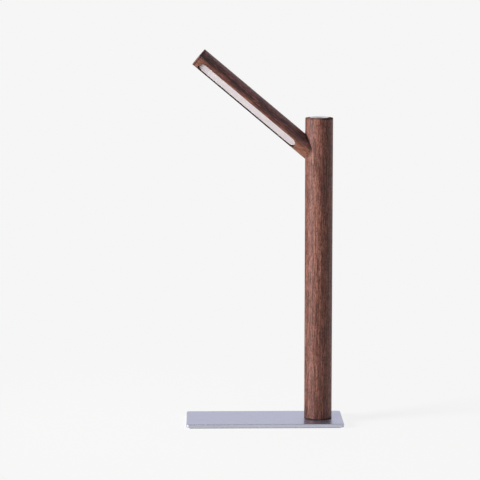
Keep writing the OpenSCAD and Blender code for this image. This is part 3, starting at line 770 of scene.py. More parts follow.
def make_turned_rings():
    """Rings round z, close together, as the point of a lathe tool leaves them."""
    tree, given, wanted = new_group("turned_rings", {"Vector": "Vector", "Lines": "Float"}, TOOL_SOCKETS)
    level = parts(tree, given["Vector"])["Z"]
    path = maths(tree, "ADD", from_axis(tree, given["Vector"]), level)
    cut = maths(tree, "MULTIPLY", path, given["Lines"])
    fine = add(tree, "TexNoise", {"W": cut, "Detail": LATHE_DETAIL}, noise_dimensions="1D").outputs["Fac"]
    feed(tree, wanted, Shade=fine, Height=fine)
    return tree


def make_moulded_grain():
    """The fine even grain of an etched mould."""
    inputs = {"Vector": "Vector", "Grains": "Float"}
    tree, given, wanted = new_group("moulded_grain", inputs, TOOL_SOCKETS)
    etching = {"Vector": given["Vector"], "Scale": given["Grains"]}
    cells = add(tree, "TexVoronoi", etching).outputs["Distance"]
    cloud = noise(tree, given["Vector"], *MOULD_CLOUD)
    feed(tree, wanted, Shade=maths(tree, "MULTIPLY_ADD", cells, CELL_SHARE, cloud), Height=cells)
    return tree


brushed_lines = make_brushed_lines()
turned_rings = make_turned_rings()
moulded_grain = make_moulded_grain()
print("tool marks:", brushed_lines.name, turned_rings.name, moulded_grain.name)

# %% Handling
SMEAR_TWIST = 1.5
SMEAR = (0.42, 0.70)


def make_handling():
    """Faint cloudy marks of hands."""
    tree, given, wanted = new_group("handling", {"Vector": "Vector", "Size": "Float"}, {"Mask": "Float"})
    settings = {"Vector": given["Vector"], "Scale": given["Size"], "Distortion": SMEAR_TWIST}
    smear = add(tree, "TexNoise", settings).outputs["Fac"]
    feed(tree, wanted, Mask=fade(tree, smear, *SMEAR))
    return tree


handling = make_handling()


def hand_marks(tree, place, size):
    """A mask of marks of a given size."""
    return add(tree, "Group", {"Vector": place, "Size": size}, node_tree=handling).outputs["Mask"]


print("marks:", handling.name)

# %% [markdown]
# Steel plate
#
# The plate is thin steel, ground fine along its length and closed with a thin clear lacquer. It shows
# the foot of the post and the pale backdrop. Bare metal with one roughness would give either a mirror
# or a blur. The coat gives the sharp reflection and the ground steel under it the soft one. The edge
# tint is the colour that the metal takes where it is seen at a low angle, and the camera sees the
# whole top that way. Along the rim the grinding is broken by handling, so it is paler and duller.

# %% Worn rim
plate_low, plate_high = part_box("base_plate")
PLATE_HALF = ((plate_high.x - plate_low.x) / 2, (plate_high.y - plate_low.y) / 2)
RIM_WEAR = 0.9 * MM
RIM_NOISE = (700.0, 4.0, 0.6)
RIM_FADE = (-0.5 * RIM_WEAR, 0.6 * RIM_WEAR, 1.0, 0.0)


def rim_wear(tree, place):
    """A mask that is 1 on the rim of the plate and broken up by noise further in."""
    axes = parts(tree, place)
    sides = []
    for axis, half in zip("XY", PLATE_HALF):
        sides.append(maths(tree, "SUBTRACT", half, maths(tree, "ABSOLUTE", axes[axis])))
    inward = maths(tree, "MINIMUM", *sides)
    rough_edge = maths(tree, "MULTIPLY_ADD", noise(tree, place, *RIM_NOISE), -RIM_WEAR, inward)
    return fade(tree, rough_edge, *RIM_FADE)


print("plate measures", [round(2 * half / MM, 1) for half in PLATE_HALF], "mm")

# %% Plate finish
PLATE_METAL = 0.74
PLATE_EDGE_TINT = (0.70, 0.70, 0.90, 1.0)
PLATE_COAT = {"Coat_Weight": 0.55, "Coat_Roughness": 0.08, "Coat_Tint": (0.92, 0.92, 0.98, 1.0)}
PLATE_STEEL = (paint(176, 179, 195), paint(199, 202, 218))
PLATE_WORN = paint(216, 216, 224)
PLATE_WORN_SHARE = 0.5
PLATE_LINES = 3200.0
PLATE_MARKS = 38.0
PLATE_ROUGHNESS = {"ground": 0.27, "lines": 0.08, "marks": 0.05, "worn": 0.12}
PLATE_RELIEF = (0.05, 0.1 * MM)


def plate_finish():
    """Ground steel under a clear coat."""
    made, tree, shader, place = new_material(
        "plate_steel_finish", Metallic=PLATE_METAL, Specular_Tint=PLATE_EDGE_TINT, **PLATE_COAT
    )
    lines = add(tree, "Group", {"Vector": place, "Lines": PLATE_LINES}, node_tree=brushed_lines).outputs
    worn = rim_wear(tree, place)
    colour = mix(tree, lines["Shade"], *PLATE_STEEL)
    colour = mix(tree, maths(tree, "MULTIPLY", worn, PLATE_WORN_SHARE), colour, PLATE_WORN)
    masks = {"lines": lines["Shade"], "marks": hand_marks(tree, place, PLATE_MARKS), "worn": worn}
    rough = PLATE_ROUGHNESS["ground"]
    for name, mask in masks.items():
        rough = maths(tree, "MULTIPLY_ADD", mask, PLATE_ROUGHNESS[name], rough)
    relief = bump(tree, lines["Height"], *PLATE_RELIEF)
    feed(tree, shader, Base_Color=colour, Roughness=rough, Normal=relief)
    return made


plate_steel = plate_finish()
print("plate:", plate_steel.name)

# %% [markdown]
# Turned and drawn metals
#
# The button and its ring are turned aluminium, and their rings run round the axis of the post. The
# swivel's parts are turned on the axis of the arm. The heat sink is a drawn bar with straight lines,
# and the small screws are plated, with a soft mottled bloom and no lines at all. The seven metals
# could be wired one by one. One function that is told the colours, the gloss, the pattern and the
# axis keeps them alike in everything that metals share.

# %% Metal finishes
SHADE_SPAN = (0.3, 0.8)
MOTTLE = (900.0, 5.0, 0.65)
LINE_ROUGHNESS = 0.14
MARK_ROUGHNESS = 0.08
METAL_MARKS = 160.0
METAL_RELIEF = (0.08, 0.1 * MM)


def metal(name, dark, light, rough, pattern=None, lines=0.0, axis=None):
    """A metal whose shade, gloss and relief follow a pattern in the frame of an axis."""
    made, tree, shader, place = new_material(name, Metallic=1.0)
    if axis:
        place = in_frame(tree, place, axis)
    if pattern:
        cut = add(tree, "Group", {"Vector": place, "Lines": lines}, node_tree=pattern).outputs
        shade, height = cut["Shade"], cut["Height"]
    else:
        shade = height = noise(tree, place, *MOTTLE)
    colour = mix(tree, fade(tree, shade, *SHADE_SPAN), dark, light)
    gloss = maths(tree, "MULTIPLY_ADD", shade, LINE_ROUGHNESS, rough - LINE_ROUGHNESS / 2)
    gloss = maths(tree, "MULTIPLY_ADD", hand_marks(tree, place, METAL_MARKS), MARK_ROUGHNESS, gloss)
    feed(tree, shader, Base_Color=colour, Roughness=gloss, Normal=bump(tree, height, *METAL_RELIEF))
    return made


turned_aluminium = metal(
    "turned_aluminium", paint(214, 208, 216), paint(238, 232, 240), 0.36, turned_rings, 2600.0, POST_FRAME
)
drawn_aluminium = metal(
    "drawn_aluminium", paint(168, 170, 174), paint(210, 212, 216), 0.34, brushed_lines, 2200.0
)
turned_brass = metal(
    "turned_brass", paint(150, 118, 62), paint(208, 174, 100), 0.26, turned_rings, 2400.0, ARM_FRAME
)
plain_brass = metal("plain_brass", paint(146, 114, 60), paint(204, 170, 98), 0.30)
turned_steel = metal(
    "turned_steel", paint(128, 130, 134), paint(190, 192, 196), 0.24, turned_rings, 2800.0, ARM_FRAME
)
plated_steel = metal("plated_steel", paint(160, 162, 166), paint(206, 208, 212), 0.28)
spring_steel = metal("spring_steel", paint(104, 106, 112), paint(160, 162, 168), 0.30)
print("metals:", turned_aluminium.name, turned_brass.name, turned_steel.name, plated_steel.name)

# %% [markdown]
# Plastics and rubber
#
# Moulded plastic is never quite flat. The steel of the mould was etched, and that leaves a fine grain
# that breaks up the shine. A plain colour with a roughness would look like paint. So one function
# lays the moulded grain on the black carrier, the grey sheaths, the nylon washer and the foot, each
# with its own size of grain and its own gloss.

# %% Plastic finishes
GRAIN_SPAN = (0.3, 1.0)
PLASTIC_MARKS = 120.0
HANDLED_GLOSS = -0.08
GRAIN_DEPTH = 0.2 * MM


def moulded(name, dark, light, rough, grains, relief):
    """A moulded plastic or rubber."""
    made, tree, shader, place = new_material(name)
    grain = add(tree, "Group", {"Vector": place, "Grains": grains}, node_tree=moulded_grain).outputs
    colour = mix(tree, fade(tree, grain["Shade"], *GRAIN_SPAN), dark, light)
    gloss = maths(tree, "MULTIPLY_ADD", hand_marks(tree, place, PLASTIC_MARKS), HANDLED_GLOSS, rough)
    relief = bump(tree, grain["Height"], relief, GRAIN_DEPTH)
    feed(tree, shader, Base_Color=colour, Roughness=gloss, Normal=relief)
    return made


black_plastic = moulded("black_plastic_finish", paint(20, 20, 22), paint(36, 36, 39), 0.48, 2600.0, 0.15)
foot_rubber = moulded("foot_rubber_finish", paint(28, 28, 31), paint(46, 46, 50), 0.78, 900.0, 0.35)
sheath = moulded("sheath_finish", paint(46, 46, 50), paint(66, 66, 72), 0.50, 3400.0, 0.08)
nylon = moulded("nylon_finish", paint(220, 217, 204), paint(240, 238, 228), 0.46, 3000.0, 0.06)
print("plastics:", black_plastic.name, foot_rubber.name, sheath.name, nylon.name)

# %% [markdown]
# Opal finish
#
# The cover is milky acrylic with a satin face, and the light behind it is off. Real milkiness is light
# that wanders inside the plastic. It could be rendered as that, but it is slow, noisy and lost when the
# colours are baked, and an unlit cover only looks pale. So it is a pale surface whose milk isn't quite
# even, with a very fine tooth that keeps it from shining. Towards its far end it is painted a little
# greyer as painted shade, which fades out again close to the end.

# %% Opal finish
OPAL_GLOSS = 0.25
OPAL_ROUGHNESS = 0.62
OPAL_MARKS = 90.0
OPAL_HANDLED = -0.04
MILK = (paint(232, 222, 224), paint(228, 218, 220))
MILK_CLOUD = (110.0, 3.0, 0.6)
MILK_SPAN = (0.3, 0.7)
# Painted shade colour for the far end of the cover
COVER_SHADE_GREY = paint(150, 143, 150)
TOOTH = (5200.0, 2.0, 0.6)
TOOTH_COLOUR = paint(205, 196, 199)
TOOTH_SHARE = 0.04
TOOTH_RELIEF = (0.2, 0.005 * MM)
# Painted shade towards the far end, in millimetres along the arm
COVER_SHADE_STARTS = (148.0, 159.0, 0.0, 0.40)
COVER_SHADE_ENDS = (158.5, 161.0, 1.0, 0.0)


def opal_finish():
    """Milky plastic with a satin face, with painted shade towards its far end."""
    made, tree, shader, place = new_material("opal_finish", Specular_IOR_Level=OPAL_GLOSS)
    tooth = noise(tree, place, *TOOTH)
    colour = mix(tree, fade(tree, noise(tree, place, *MILK_CLOUD), *MILK_SPAN), *MILK)
    along = parts(tree, in_frame(tree, place, ARM_FRAME))["Z"]
    # Painted shade: the cover is greyer towards its far end
    grey = maths(tree, "MULTIPLY", ease(tree, along, *COVER_SHADE_STARTS), ease(tree, along, *COVER_SHADE_ENDS))
    colour = mix(tree, grey, colour, COVER_SHADE_GREY)
    colour = mix(tree, maths(tree, "MULTIPLY", tooth, TOOTH_SHARE), colour, TOOTH_COLOUR)
    marks = hand_marks(tree, place, OPAL_MARKS)
    gloss = maths(tree, "MULTIPLY_ADD", marks, OPAL_HANDLED, OPAL_ROUGHNESS)
    feed(tree, shader, Base_Color=colour, Roughness=gloss, Normal=bump(tree, tooth, *TOOTH_RELIEF))
    return made


opal = opal_finish()
print("cover:", opal.name)

# %% [markdown]
# Light board finishes
#
# The board is covered with white solder mask over copper. Where a track runs under the mask it stands
# a little proud. The tracks could be cut as shapes, but nobody sees them through the cover, so they
# are a low relief along the strip. Each light has a white body and a yellow window of phosphor, which
# is grainy because it is powder in silicone, so the moulded grain serves for both.

# %% Board finishes
TRACKS = {"Scale": 180.0, "Mortar Size": 0.03, "Brick Width": 1.4}
TRACK_COLOUR = paint(206, 208, 200)
TRACK_SHARE = 0.5
TRACK_RELIEF = (0.2, 0.1 * MM)
MASK_WHITES = (paint(226, 226, 220), paint(240, 240, 236))
MASK_CLOUD = (300.0, 3.0, 0.6)
MASK_ROUGHNESS = 0.42


def board_finish():
    """White solder mask with tracks under it."""
    made, tree, shader, place = new_material("board_finish", Roughness=MASK_ROUGHNESS)
    tracks = add(tree, "TexBrick", {"Vector": in_frame(tree, place, ARM_FRAME), **TRACKS}).outputs["Fac"]
    colour = mix(tree, noise(tree, place, *MASK_CLOUD), *MASK_WHITES)
    colour = mix(tree, maths(tree, "MULTIPLY", tracks, TRACK_SHARE), colour, TRACK_COLOUR)
    feed(tree, shader, Base_Color=colour, Normal=bump(tree, tracks, *TRACK_RELIEF))
    return made


board_white = board_finish()
light_body = moulded("light_body_finish", paint(228, 228, 224), paint(242, 242, 240), 0.40, 3600.0, 0.05)
phosphor = moulded("phosphor_finish", paint(222, 196, 96), paint(242, 226, 150), 0.42, 6000.0, 0.2)
chip_black = moulded("chip_black_finish", paint(20, 20, 23), paint(34, 34, 38), 0.38, 4200.0, 0.1)
print("board:", board_white.name, light_body.name, phosphor.name, chip_black.name)

# %% [markdown]
# Finishes on the solids that stay
#
# Most of the solids in the frame already have the right shape. They could all be modelled again, but
# that would only risk their fit. They keep their mesh, and only get a better material. The rest is
# modelled below, and each new piece stands in for the solid that it names.

# %% Dress the solids
dressed = {
    "foot_pad": foot_rubber,
    "post": post_walnut,
    "arm_stick": arm_walnut,
    "swivel_housing": turned_brass,
    "swivel_spigot": turned_steel,
    "disc_spring": turned_steel,
    "circlip": turned_steel,
    "stop_pin": turned_steel,
    "thrust_washer": nylon,
    "heat_sink": drawn_aluminium,
    "heat_sink_screws": plated_steel,
    "led_board": board_white,
    "jack_tags": plain_brass,
    "switch_tags": plain_brass,
    "switch_carrier": black_plastic,
    "switch_body": black_plastic,
    "switch_plunger": nylon,
}
for name, finish in dressed.items():
    nodes[name].data.materials[0] = finish
print("solids that stay:", len(dressed), "of", len(nodes))

# %% [markdown]
# Helpers for new pieces
#
# A real edge is never sharp, so one helper rounds edges with the bevel operator. A Bevel modifier could
# do it too, but the operator can be given just the edges that are worn. The last helper turns a finished
# mesh into a piece of the lamp: it names the body that carries it and the solid that it stands for. Its
# Weighted Normal modifier keeps the large flat faces flat in the shading, which the small rounded edges
# beside them would otherwise bend.

# %% Edge helpers
DOUBLES = 0.0002 * MM


def tidy_up(shape):
    """Joins doubled points and turns every face outwards."""
    bmesh.ops.remove_doubles(shape, verts=shape.verts, dist=DOUBLES)
    bmesh.ops.dissolve_degenerate(shape, edges=shape.edges, dist=DOUBLES)
    bmesh.ops.recalc_face_normals(shape, faces=shape.faces)


def round_off(shape, edges, width, segments):
    """Rounds some edges by a width in millimetres."""
    bmesh.ops.bevel(
        shape,
        geom=edges,
        offset=width * MM,
        offset_type="OFFSET",
        affect="EDGES",
        segments=segments,
        profile=0.5,
        material=-1,
        clamp_overlap=True,
    )


print("edge helpers: tidy_up, round_off")

# %% Piece helper
def make_piece(name, shape, body, replaced, slot, *finishes, smooth_below=40.0):
    """Turns a bmesh into a piece that stands for a solid and, if a body is named, rides on it."""
    mesh = bpy.data.meshes.new(name)
    shape.to_mesh(mesh)
    shape.free()
    mesh.shade_smooth()
    mesh.set_sharp_from_angle(angle=math.radians(smooth_below))
    for finish in finishes:
        mesh.materials.append(finish)
    made = into_scene(name, mesh)
    flat_faces = made.modifiers.new("flat_faces", "WEIGHTED_NORMAL")
    flat_faces.keep_sharp = True
    if body:
        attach(made, body)
    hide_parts(replaced)
    print(name, "has", len(mesh.polygons), "faces")
    return made


print("piece helper: make_piece")

# %% [markdown]
# Plate with eased edges
#
# The solid has the plate's size, its screw holes and a plain chamfer. On the real plate the grinder
# rolls over the edge, and that small round is what catches the light at the corners. A new plate
# would need its holes cut again. So the mesh of the solid is copied, its doubled points are joined,
# its flat faces are made whole, and only the edges round the outside are rounded.

# %% Plate
FLAT_ANGLE = math.radians(0.5)
RIM_ANGLE = math.radians(20)
RIM_BAND = 3.0 * MM
LEVEL = 0.01 * MM
PLATE_EASE = 0.17


def copy_of(node):
    """A copy of a solid's mesh, with its points joined and its flat faces whole."""
    shape = bmesh.new()
    shape.from_mesh(nodes[node].data)
    tidy_up(shape)
    bmesh.ops.dissolve_limit(shape, angle_limit=FLAT_ANGLE, verts=shape.verts, edges=shape.edges)
    return shape


def is_outer(edge):
    """True for an edge that runs level round the rim of the plate."""
    first, second = (vert.co for vert in edge.verts)
    middle = (first + second) / 2
    near_rim = any(abs(middle[axis]) > half - RIM_BAND for axis, half in enumerate(PLATE_HALF))
    return near_rim and abs(first.z - second.z) < LEVEL and edge.calc_face_angle(0.0) > RIM_ANGLE


shape = copy_of("base_plate")
round_off(shape, [edge for edge in shape.edges if is_outer(edge)], PLATE_EASE, segments=3)
make_piece("steel_plate", shape, "stand", "base_plate", "plate_steel", plate_steel, smooth_below=30.0)

# %% [markdown]
# Frame of the light slot
#
# The slot is turned round the arm away from straight down. The turn could be copied from the drawing,
# but the joint knows it: it is the middle of the arm's range with its sign changed. With z along the
# arm and x out of the slot, everything in the slot can be drawn as if it lay flat on a bench.

# %% Slot frame
low_turn, high_turn = joints["arm_twist"]["range_deg"]
slot_turn = Matrix.Rotation(math.radians(-(low_turn + high_turn) / 2), 3, arm_axis)
straight_down = arm_axis * arm_axis.dot(UP) - UP
out_of_slot = slot_turn @ straight_down.normalized()
across_slot = arm_axis.cross(out_of_slot)
SLOT_FRAME = Matrix((out_of_slot, across_slot, arm_axis)).transposed().to_4x4()
SLOT_FRAME.translation = arm_pivot


def slot_box(node):
    """The lowest and highest corners of a solid in the slot's frame, in millimetres."""
    inward = SLOT_FRAME.inverted()
    places = [inward @ point.co / MM for point in nodes[node].data.vertices]
    return [Vector(limit(place[axis] for place in places) for axis in range(3)) for limit in (min, max)]


print("slot looks along", [round(part, 3) for part in out_of_slot])

# %% [markdown]
# Opal cover
#
# The cover is a bar with round ends that lies in the slot. Two discs and a box could be joined, but
# their seams would have to be cleaned up. Here a circle is parted in the middle by moving its two
# halves away from each other, so the sides become straight, and its face is extruded to the cover's
# thickness. The edges are rounded as milling leaves them, so a fine line of shade runs round it
# beside the wood.

# %% Cover
COVER_POINTS = 64
COVER_EDGE = 0.8
MIDDLE = 0.001 * MM
SLIVERS = 0.001 * MM


def points_of(made):
    """The points among what an operator made."""
    return [part for part in made["geom"] if isinstance(part, bmesh.types.BMVert)]


def round_edges(shape, width, segments, sharper_than):
    """Rounds every edge where two faces meet at more than an angle in degrees."""
    limit = math.radians(sharper_than)
    sharp = [edge for edge in shape.edges if edge.is_manifold and edge.calc_face_angle() > limit]
    round_off(shape, sharp, width, segments)
    bmesh.ops.dissolve_degenerate(shape, edges=shape.edges, dist=SLIVERS)


cover_low, cover_high = slot_box("diffuser")
cover_size = cover_high - cover_low
shape = bmesh.new()
bmesh.ops.create_circle(shape, cap_ends=True, radius=cover_size.y / 2 * MM, segments=COVER_POINTS)
half_gap = (cover_size.z - cover_size.y) / 2 * MM
for side in (-1, 1):
    half = [vert for vert in shape.verts if vert.co.x * side > MIDDLE]
    bmesh.ops.translate(shape, verts=half, vec=(side * half_gap, 0.0, 0.0))
drawn = bmesh.ops.extrude_face_region(shape, geom=shape.faces[:])
bmesh.ops.translate(shape, verts=points_of(drawn), vec=(0.0, 0.0, cover_size.x * MM))
tidy_up(shape)
round_edges(shape, COVER_EDGE, segments=4, sharper_than=30.0)
stand_up = Matrix.Rotation(math.pi / 2, 4, "Y")
stand_up.translation = (cover_low.x * MM, 0.0, (cover_low.z + cover_high.z) / 2 * MM)
bmesh.ops.transform(shape, matrix=SLOT_FRAME @ stand_up, verts=shape.verts)
make_piece("opal_cover", shape, "arm", "diffuser", "opal", opal, smooth_below=50.0)

# %% [markdown]
# Button and ring
#
# The button sits in a ring let into the top of the post. Discs could be stacked for both, but they
# are lathe work, so each is one half outline spun round the post's axis, as the lathe would cut it.
# The outlines are the solids' own sections, with the small things a turner adds: a groove round the
# ring, and a fine bright step between the dish of the button and its rim.

# %% Lathe
def turn_on_lathe(outline, steps):
    """Spins a half outline, given as radius and height in millimetres, round the z axis."""
    shape = bmesh.new()
    points = [shape.verts.new((radius * MM, 0.0, height * MM)) for radius, height in outline]
    lines = [shape.edges.new(pair) for pair in zip(points, points[1:])]
    bmesh.ops.spin(
        shape,
        geom=points + lines,
        axis=(0.0, 0.0, 1.0),
        angle=2 * math.pi,
        steps=steps,
        use_merge=True,
    )
    tidy_up(shape)
    return shape


print("lathe turns round", [round(part / MM, 1) for part in post_axis.xy], "mm")

# %% Button and ring
BUTTON_STEPS = 96
DISH_RADIUS = 60.0
DISH_FLOOR = 0.6
DISH_STEPS = (0.0, 1.2, 2.4, 3.6, 4.8, 5.8, 6.5)


def dish(radius):
    """A point on the hollow top of the button, which is part of a large ball."""
    return radius, DISH_FLOOR + DISH_RADIUS - math.sqrt(DISH_RADIUS**2 - radius**2)


# Outlines of radius and height above the top of the post, in millimetres
BUTTON_OUTLINE = (
    *map(dish, DISH_STEPS), (6.7, 0.90), (6.92, 0.94), (7.0, 1.0), (7.3, 1.0), (8.0, 0.3),
    (8.0, -2.0), (8.8, -2.0), (8.8, -3.0), (2.5, -3.0), (2.5, -6.5), (0.0, -6.5),
)
RING_OUTLINE = (
    (8.3, -1.95), (8.3, 0.15), (8.45, 0.3), (9.05, 0.3), (9.13, 0.2), (9.27, 0.2), (9.35, 0.3),
    (9.5, 0.3), (10.0, 0.0), (10.0, -5.5), (9.1, -5.5), (9.1, -1.95), (8.3, -1.95),
)

post_place = Matrix.Translation((post_axis.x, post_axis.y, 0.0))
for name, outline, body, replaced, edge in (
    ("button_ring", RING_OUTLINE, "stand", "switch_bezel", 0.06),
    ("push_button", BUTTON_OUTLINE, "button", "button_cap", 0.12),
):
    shape = turn_on_lathe([(radius, POST_TOP + height) for radius, height in outline], BUTTON_STEPS)
    round_edges(shape, edge, segments=2, sharper_than=35.0)
    bmesh.ops.transform(shape, matrix=post_place, verts=shape.verts)
    make_piece(name, shape, body, replaced, "aluminium", turned_aluminium, smooth_below=35.0)

# %% [markdown]
# Power inlet
#
# The inlet at the back of the post is a moulded barrel with a round flange and a metal pin in the
# middle. The bore could be cut out of a cylinder, but an outline that goes in and out again gives the
# wall in one spin. The flange has a shallow groove where the plug seats, and the pin has a waist that
# the plug's spring snaps into.

# %% Inlet
INLET_STEPS = 72
INLET_EDGE = 0.08
# Outlines of radius and depth towards the back, in millimetres
BARREL_OUTLINE = (
    (1.1, 2.6), (4.0, 2.6), (4.0, 13.4), (5.4, 13.4), (5.5, 13.5), (5.5, 14.6), (5.1, 15.0),
    (4.7, 15.0), (4.55, 14.85), (4.25, 14.85), (4.1, 15.0), (3.3, 15.0), (3.0, 14.7), (3.0, 4.2),
    (1.1, 4.2), (1.1, 2.6),
)
PIN_OUTLINE = (
    (0.0, 2.6), (0.95, 2.6), (1.05, 2.7), (1.05, 11.4), (0.9, 11.55), (0.9, 11.85), (1.05, 12.0),
    (1.05, 12.9), (0.85, 13.3), (0.45, 13.5), (0.0, 13.5),
)

jack_low, jack_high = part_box("power_jack")
inlet_place = Matrix.Rotation(-math.pi / 2, 4, "X")
inlet_place.translation = (post_axis.x, 0.0, (jack_low.z + jack_high.z) / 2)
for name, outline, replaced, slot, finish in (
    ("inlet_barrel", BARREL_OUTLINE, "power_jack", "black_plastic", black_plastic),
    ("inlet_pin", PIN_OUTLINE, "jack_pin", "fastener_steel", plated_steel),
):
    shape = turn_on_lathe(outline, INLET_STEPS)
    round_edges(shape, INLET_EDGE, segments=2, sharper_than=35.0)
    bmesh.ops.transform(shape, matrix=inlet_place, verts=shape.verts)
    make_piece(name, shape, "stand", replaced, slot, finish)

# %% [markdown]
# Sheathed leads
#
# The leads inside the post and the arm are solids with eight flat sides. A lead is round and bends
# smoothly. It could be a curve with a bevel, but that would need the route again, and the solid
# already has it. So its mesh is copied and joined, and a Subdivision modifier makes it round. The
# rings at the two ends are creased, which keeps the cut ends square.

# %% Leads
ROUNDS = 2

for name, node, body in (
    ("switch_lead_sheath", "switch_lead", "stand"),
    ("post_lead_sheath", "led_lead_post", "stand"),
    ("arm_lead_sheath", "led_lead_arm", "arm"),
):
    shape = copy_of(node)
    crease = shape.edges.layers.float.new("crease_edge")
    for cap in [face for face in shape.faces if len(face.edges) > 4]:
        for edge in cap.edges:
            edge[crease] = 1.0
    lead = make_piece(name, shape, body, node, "lead_sheath", sheath, smooth_below=80.0)
    rounder = lead.modifiers.new("rounder", "SUBSURF")
    rounder.levels = ROUNDS
    rounder.render_levels = ROUNDS

# %% [markdown]
# Return spring
#
# A coil spring is a round wire that climbs as it turns. A Screw modifier can make one, and so can the
# spin operator, which keeps it a plain mesh: it spins a small circle and moves it up a little at every
# step. When the button goes down, the lower end stays on the switch and the upper end follows the button;
# here the piece rides on no body and keeps its rest shape.

# %% Spring
SPRING_TURNS = 4
SPRING_STEPS = 32
WIRE = 0.3 * MM
WIRE_SIDES = 12

spring_low, spring_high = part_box("return_spring")
coil_radius = (spring_high.x - spring_low.x) / 2 - WIRE
climb = spring_high.z - spring_low.z - 2 * WIRE
shape = bmesh.new()
section = bmesh.ops.create_circle(shape, radius=WIRE, segments=WIRE_SIDES)["verts"]
upright = Matrix.Rotation(math.pi / 2, 4, "X")
upright.translation = (coil_radius, 0.0, spring_low.z + WIRE)
bmesh.ops.transform(shape, matrix=upright, verts=section)
bmesh.ops.spin(
    shape,
    geom=section + shape.edges[:],
    axis=(0.0, 0.0, 1.0),
    dvec=(0.0, 0.0, climb / (SPRING_TURNS * SPRING_STEPS)),
    angle=2 * math.pi * SPRING_TURNS,
    steps=SPRING_TURNS * SPRING_STEPS,
)
bmesh.ops.holes_fill(shape, edges=shape.edges, sides=0)
tidy_up(shape)
bmesh.ops.transform(shape, matrix=post_place, verts=shape.verts)
spring = make_piece("coil_spring", shape, None, "return_spring", "fastener_steel", spring_steel)
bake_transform(spring)

# %% [markdown]
# Lights
#
# The strip carries twenty small lights. Each is a box with eased edges whose top is inset and sunk
# for the window of phosphor, with a soldered foot at each end. They could be an Array modifier, but
# the solid already says where the first and the last are, so one light is made there and duplicated
# along the strip.

# %% Blocks on the strip
def edges_at(points):
    """Every edge that ends at one of some points, once."""
    return list(dict.fromkeys(edge for point in points for edge in point.link_edges))


def block(shape, size, centre, edge, finish=0):
    """A box with eased edges, its size and centre in millimetres, out of the slot first."""
    before = set(shape.faces)
    place = Matrix.Translation(Vector(centre) * MM) @ Matrix.Diagonal((*(Vector(size) * MM), 1.0))
    corners = bmesh.ops.create_cube(shape, size=1.0, matrix=place)["verts"]
    round_off(shape, edges_at(corners), edge, segments=2)
    for face in set(shape.faces) - before:
        face.material_index = finish


def repeat_along(shape, count, step):
    """Repeats everything in the mesh along the slot, a step in millimetres apart."""
    first = shape.verts[:] + shape.edges[:] + shape.faces[:]
    for number in range(1, count):
        copied = bmesh.ops.duplicate(shape, geom=first)
        bmesh.ops.translate(shape, verts=points_of(copied), vec=(0.0, 0.0, number * step * MM))


board_top = slot_box("led_board")[1].x
print("strip lies", round(board_top, 2), "mm from the axis of the arm")

# %% Lights
LIGHT_COUNT = 20
LIGHT_SIZE = (0.62, 3.2, 2.8)
LIGHT_LIFT = 0.39
LIGHT_EASE = 0.12
WINDOW_RIM = 0.35 * MM
WINDOW_SLOPE = 0.10 * MM
WINDOW_DEPTH = 0.12 * MM
FOOT_SIZE = (0.2, 0.5, 2.2)
FOOT_LIFT = 0.1
FOOT_SIDE = 1.5
FOOT_EASE = 0.04

lights_low, lights_high = slot_box("led_chips")
first_light = lights_low.z + LIGHT_SIZE[2] / 2
light_pitch = (lights_high.z - lights_low.z - LIGHT_SIZE[2]) / (LIGHT_COUNT - 1)
shape = bmesh.new()
block(shape, LIGHT_SIZE, (board_top + LIGHT_LIFT, 0.0, first_light), LIGHT_EASE)
window = max(shape.faces, key=lambda face: face.calc_center_median().x)
for inset, depth in ((WINDOW_RIM, 0.0), (WINDOW_SLOPE, -WINDOW_DEPTH)):
    bmesh.ops.inset_region(shape, faces=[window], thickness=inset, depth=depth, use_even_offset=True)
window.material_index = 1
for side in (-1, 1):
    block(shape, FOOT_SIZE, (board_top + FOOT_LIFT, side * FOOT_SIDE, first_light), FOOT_EASE, finish=2)
repeat_along(shape, LIGHT_COUNT, light_pitch)
bmesh.ops.transform(shape, matrix=SLOT_FRAME, verts=shape.verts)
make_piece("strip_lights", shape, "arm", "led_chips", "led_phosphor", light_body, phosphor, plated_steel)

# %% [markdown]
# Resistors
#
# Four resistors keep the current even. Each is a dark block between two tinned caps. A texture could
# paint the caps on one box, but the caps are thicker than the block, so they are boxes of their own.
# One is made at the place of the solid's first and duplicated, as the lights were.

# %% Resistors
RESISTOR_COUNT = 4
RESISTOR_LENGTH = 1.6
RESISTOR_SIZE = (0.46, 0.96, 0.9)
RESISTOR_LIFT = 0.25
RESISTOR_EASE = 0.05
CAP_SIZE = (0.5, 1.0, 0.38)
CAP_EASE = 0.06

resistors_low, resistors_high = slot_box("led_resistors")
resistor_side = (resistors_low.y + resistors_high.y) / 2
first_resistor = resistors_low.z + RESISTOR_LENGTH / 2
resistor_pitch = (resistors_high.z - resistors_low.z - RESISTOR_LENGTH) / (RESISTOR_COUNT - 1)
cap_reach = (RESISTOR_LENGTH - CAP_SIZE[2]) / 2
shape = bmesh.new()
centre = Vector((board_top + RESISTOR_LIFT, resistor_side, first_resistor))
block(shape, RESISTOR_SIZE, centre, RESISTOR_EASE)
for end in (-1, 1):
    block(shape, CAP_SIZE, centre + Vector((0.0, 0.0, end * cap_reach)), CAP_EASE, finish=1)
repeat_along(shape, RESISTOR_COUNT, resistor_pitch)
bmesh.ops.transform(shape, matrix=SLOT_FRAME, verts=shape.verts)
make_piece("strip_resistors", shape, "arm", "led_resistors", "chip_black", chip_black, plated_steel)

# %% [markdown]
# Base screws
#
# Two countersunk screws come up through the plate. Their heads have a hexagon socket, which could be
# cut with a Boolean. Here a circle of six sides is subdivided until it has as many points as the rim
# of the head, and the two loops are bridged, which leaves clean faces. The thread is a small closed
# ridge that is spun upwards, as the spring was.

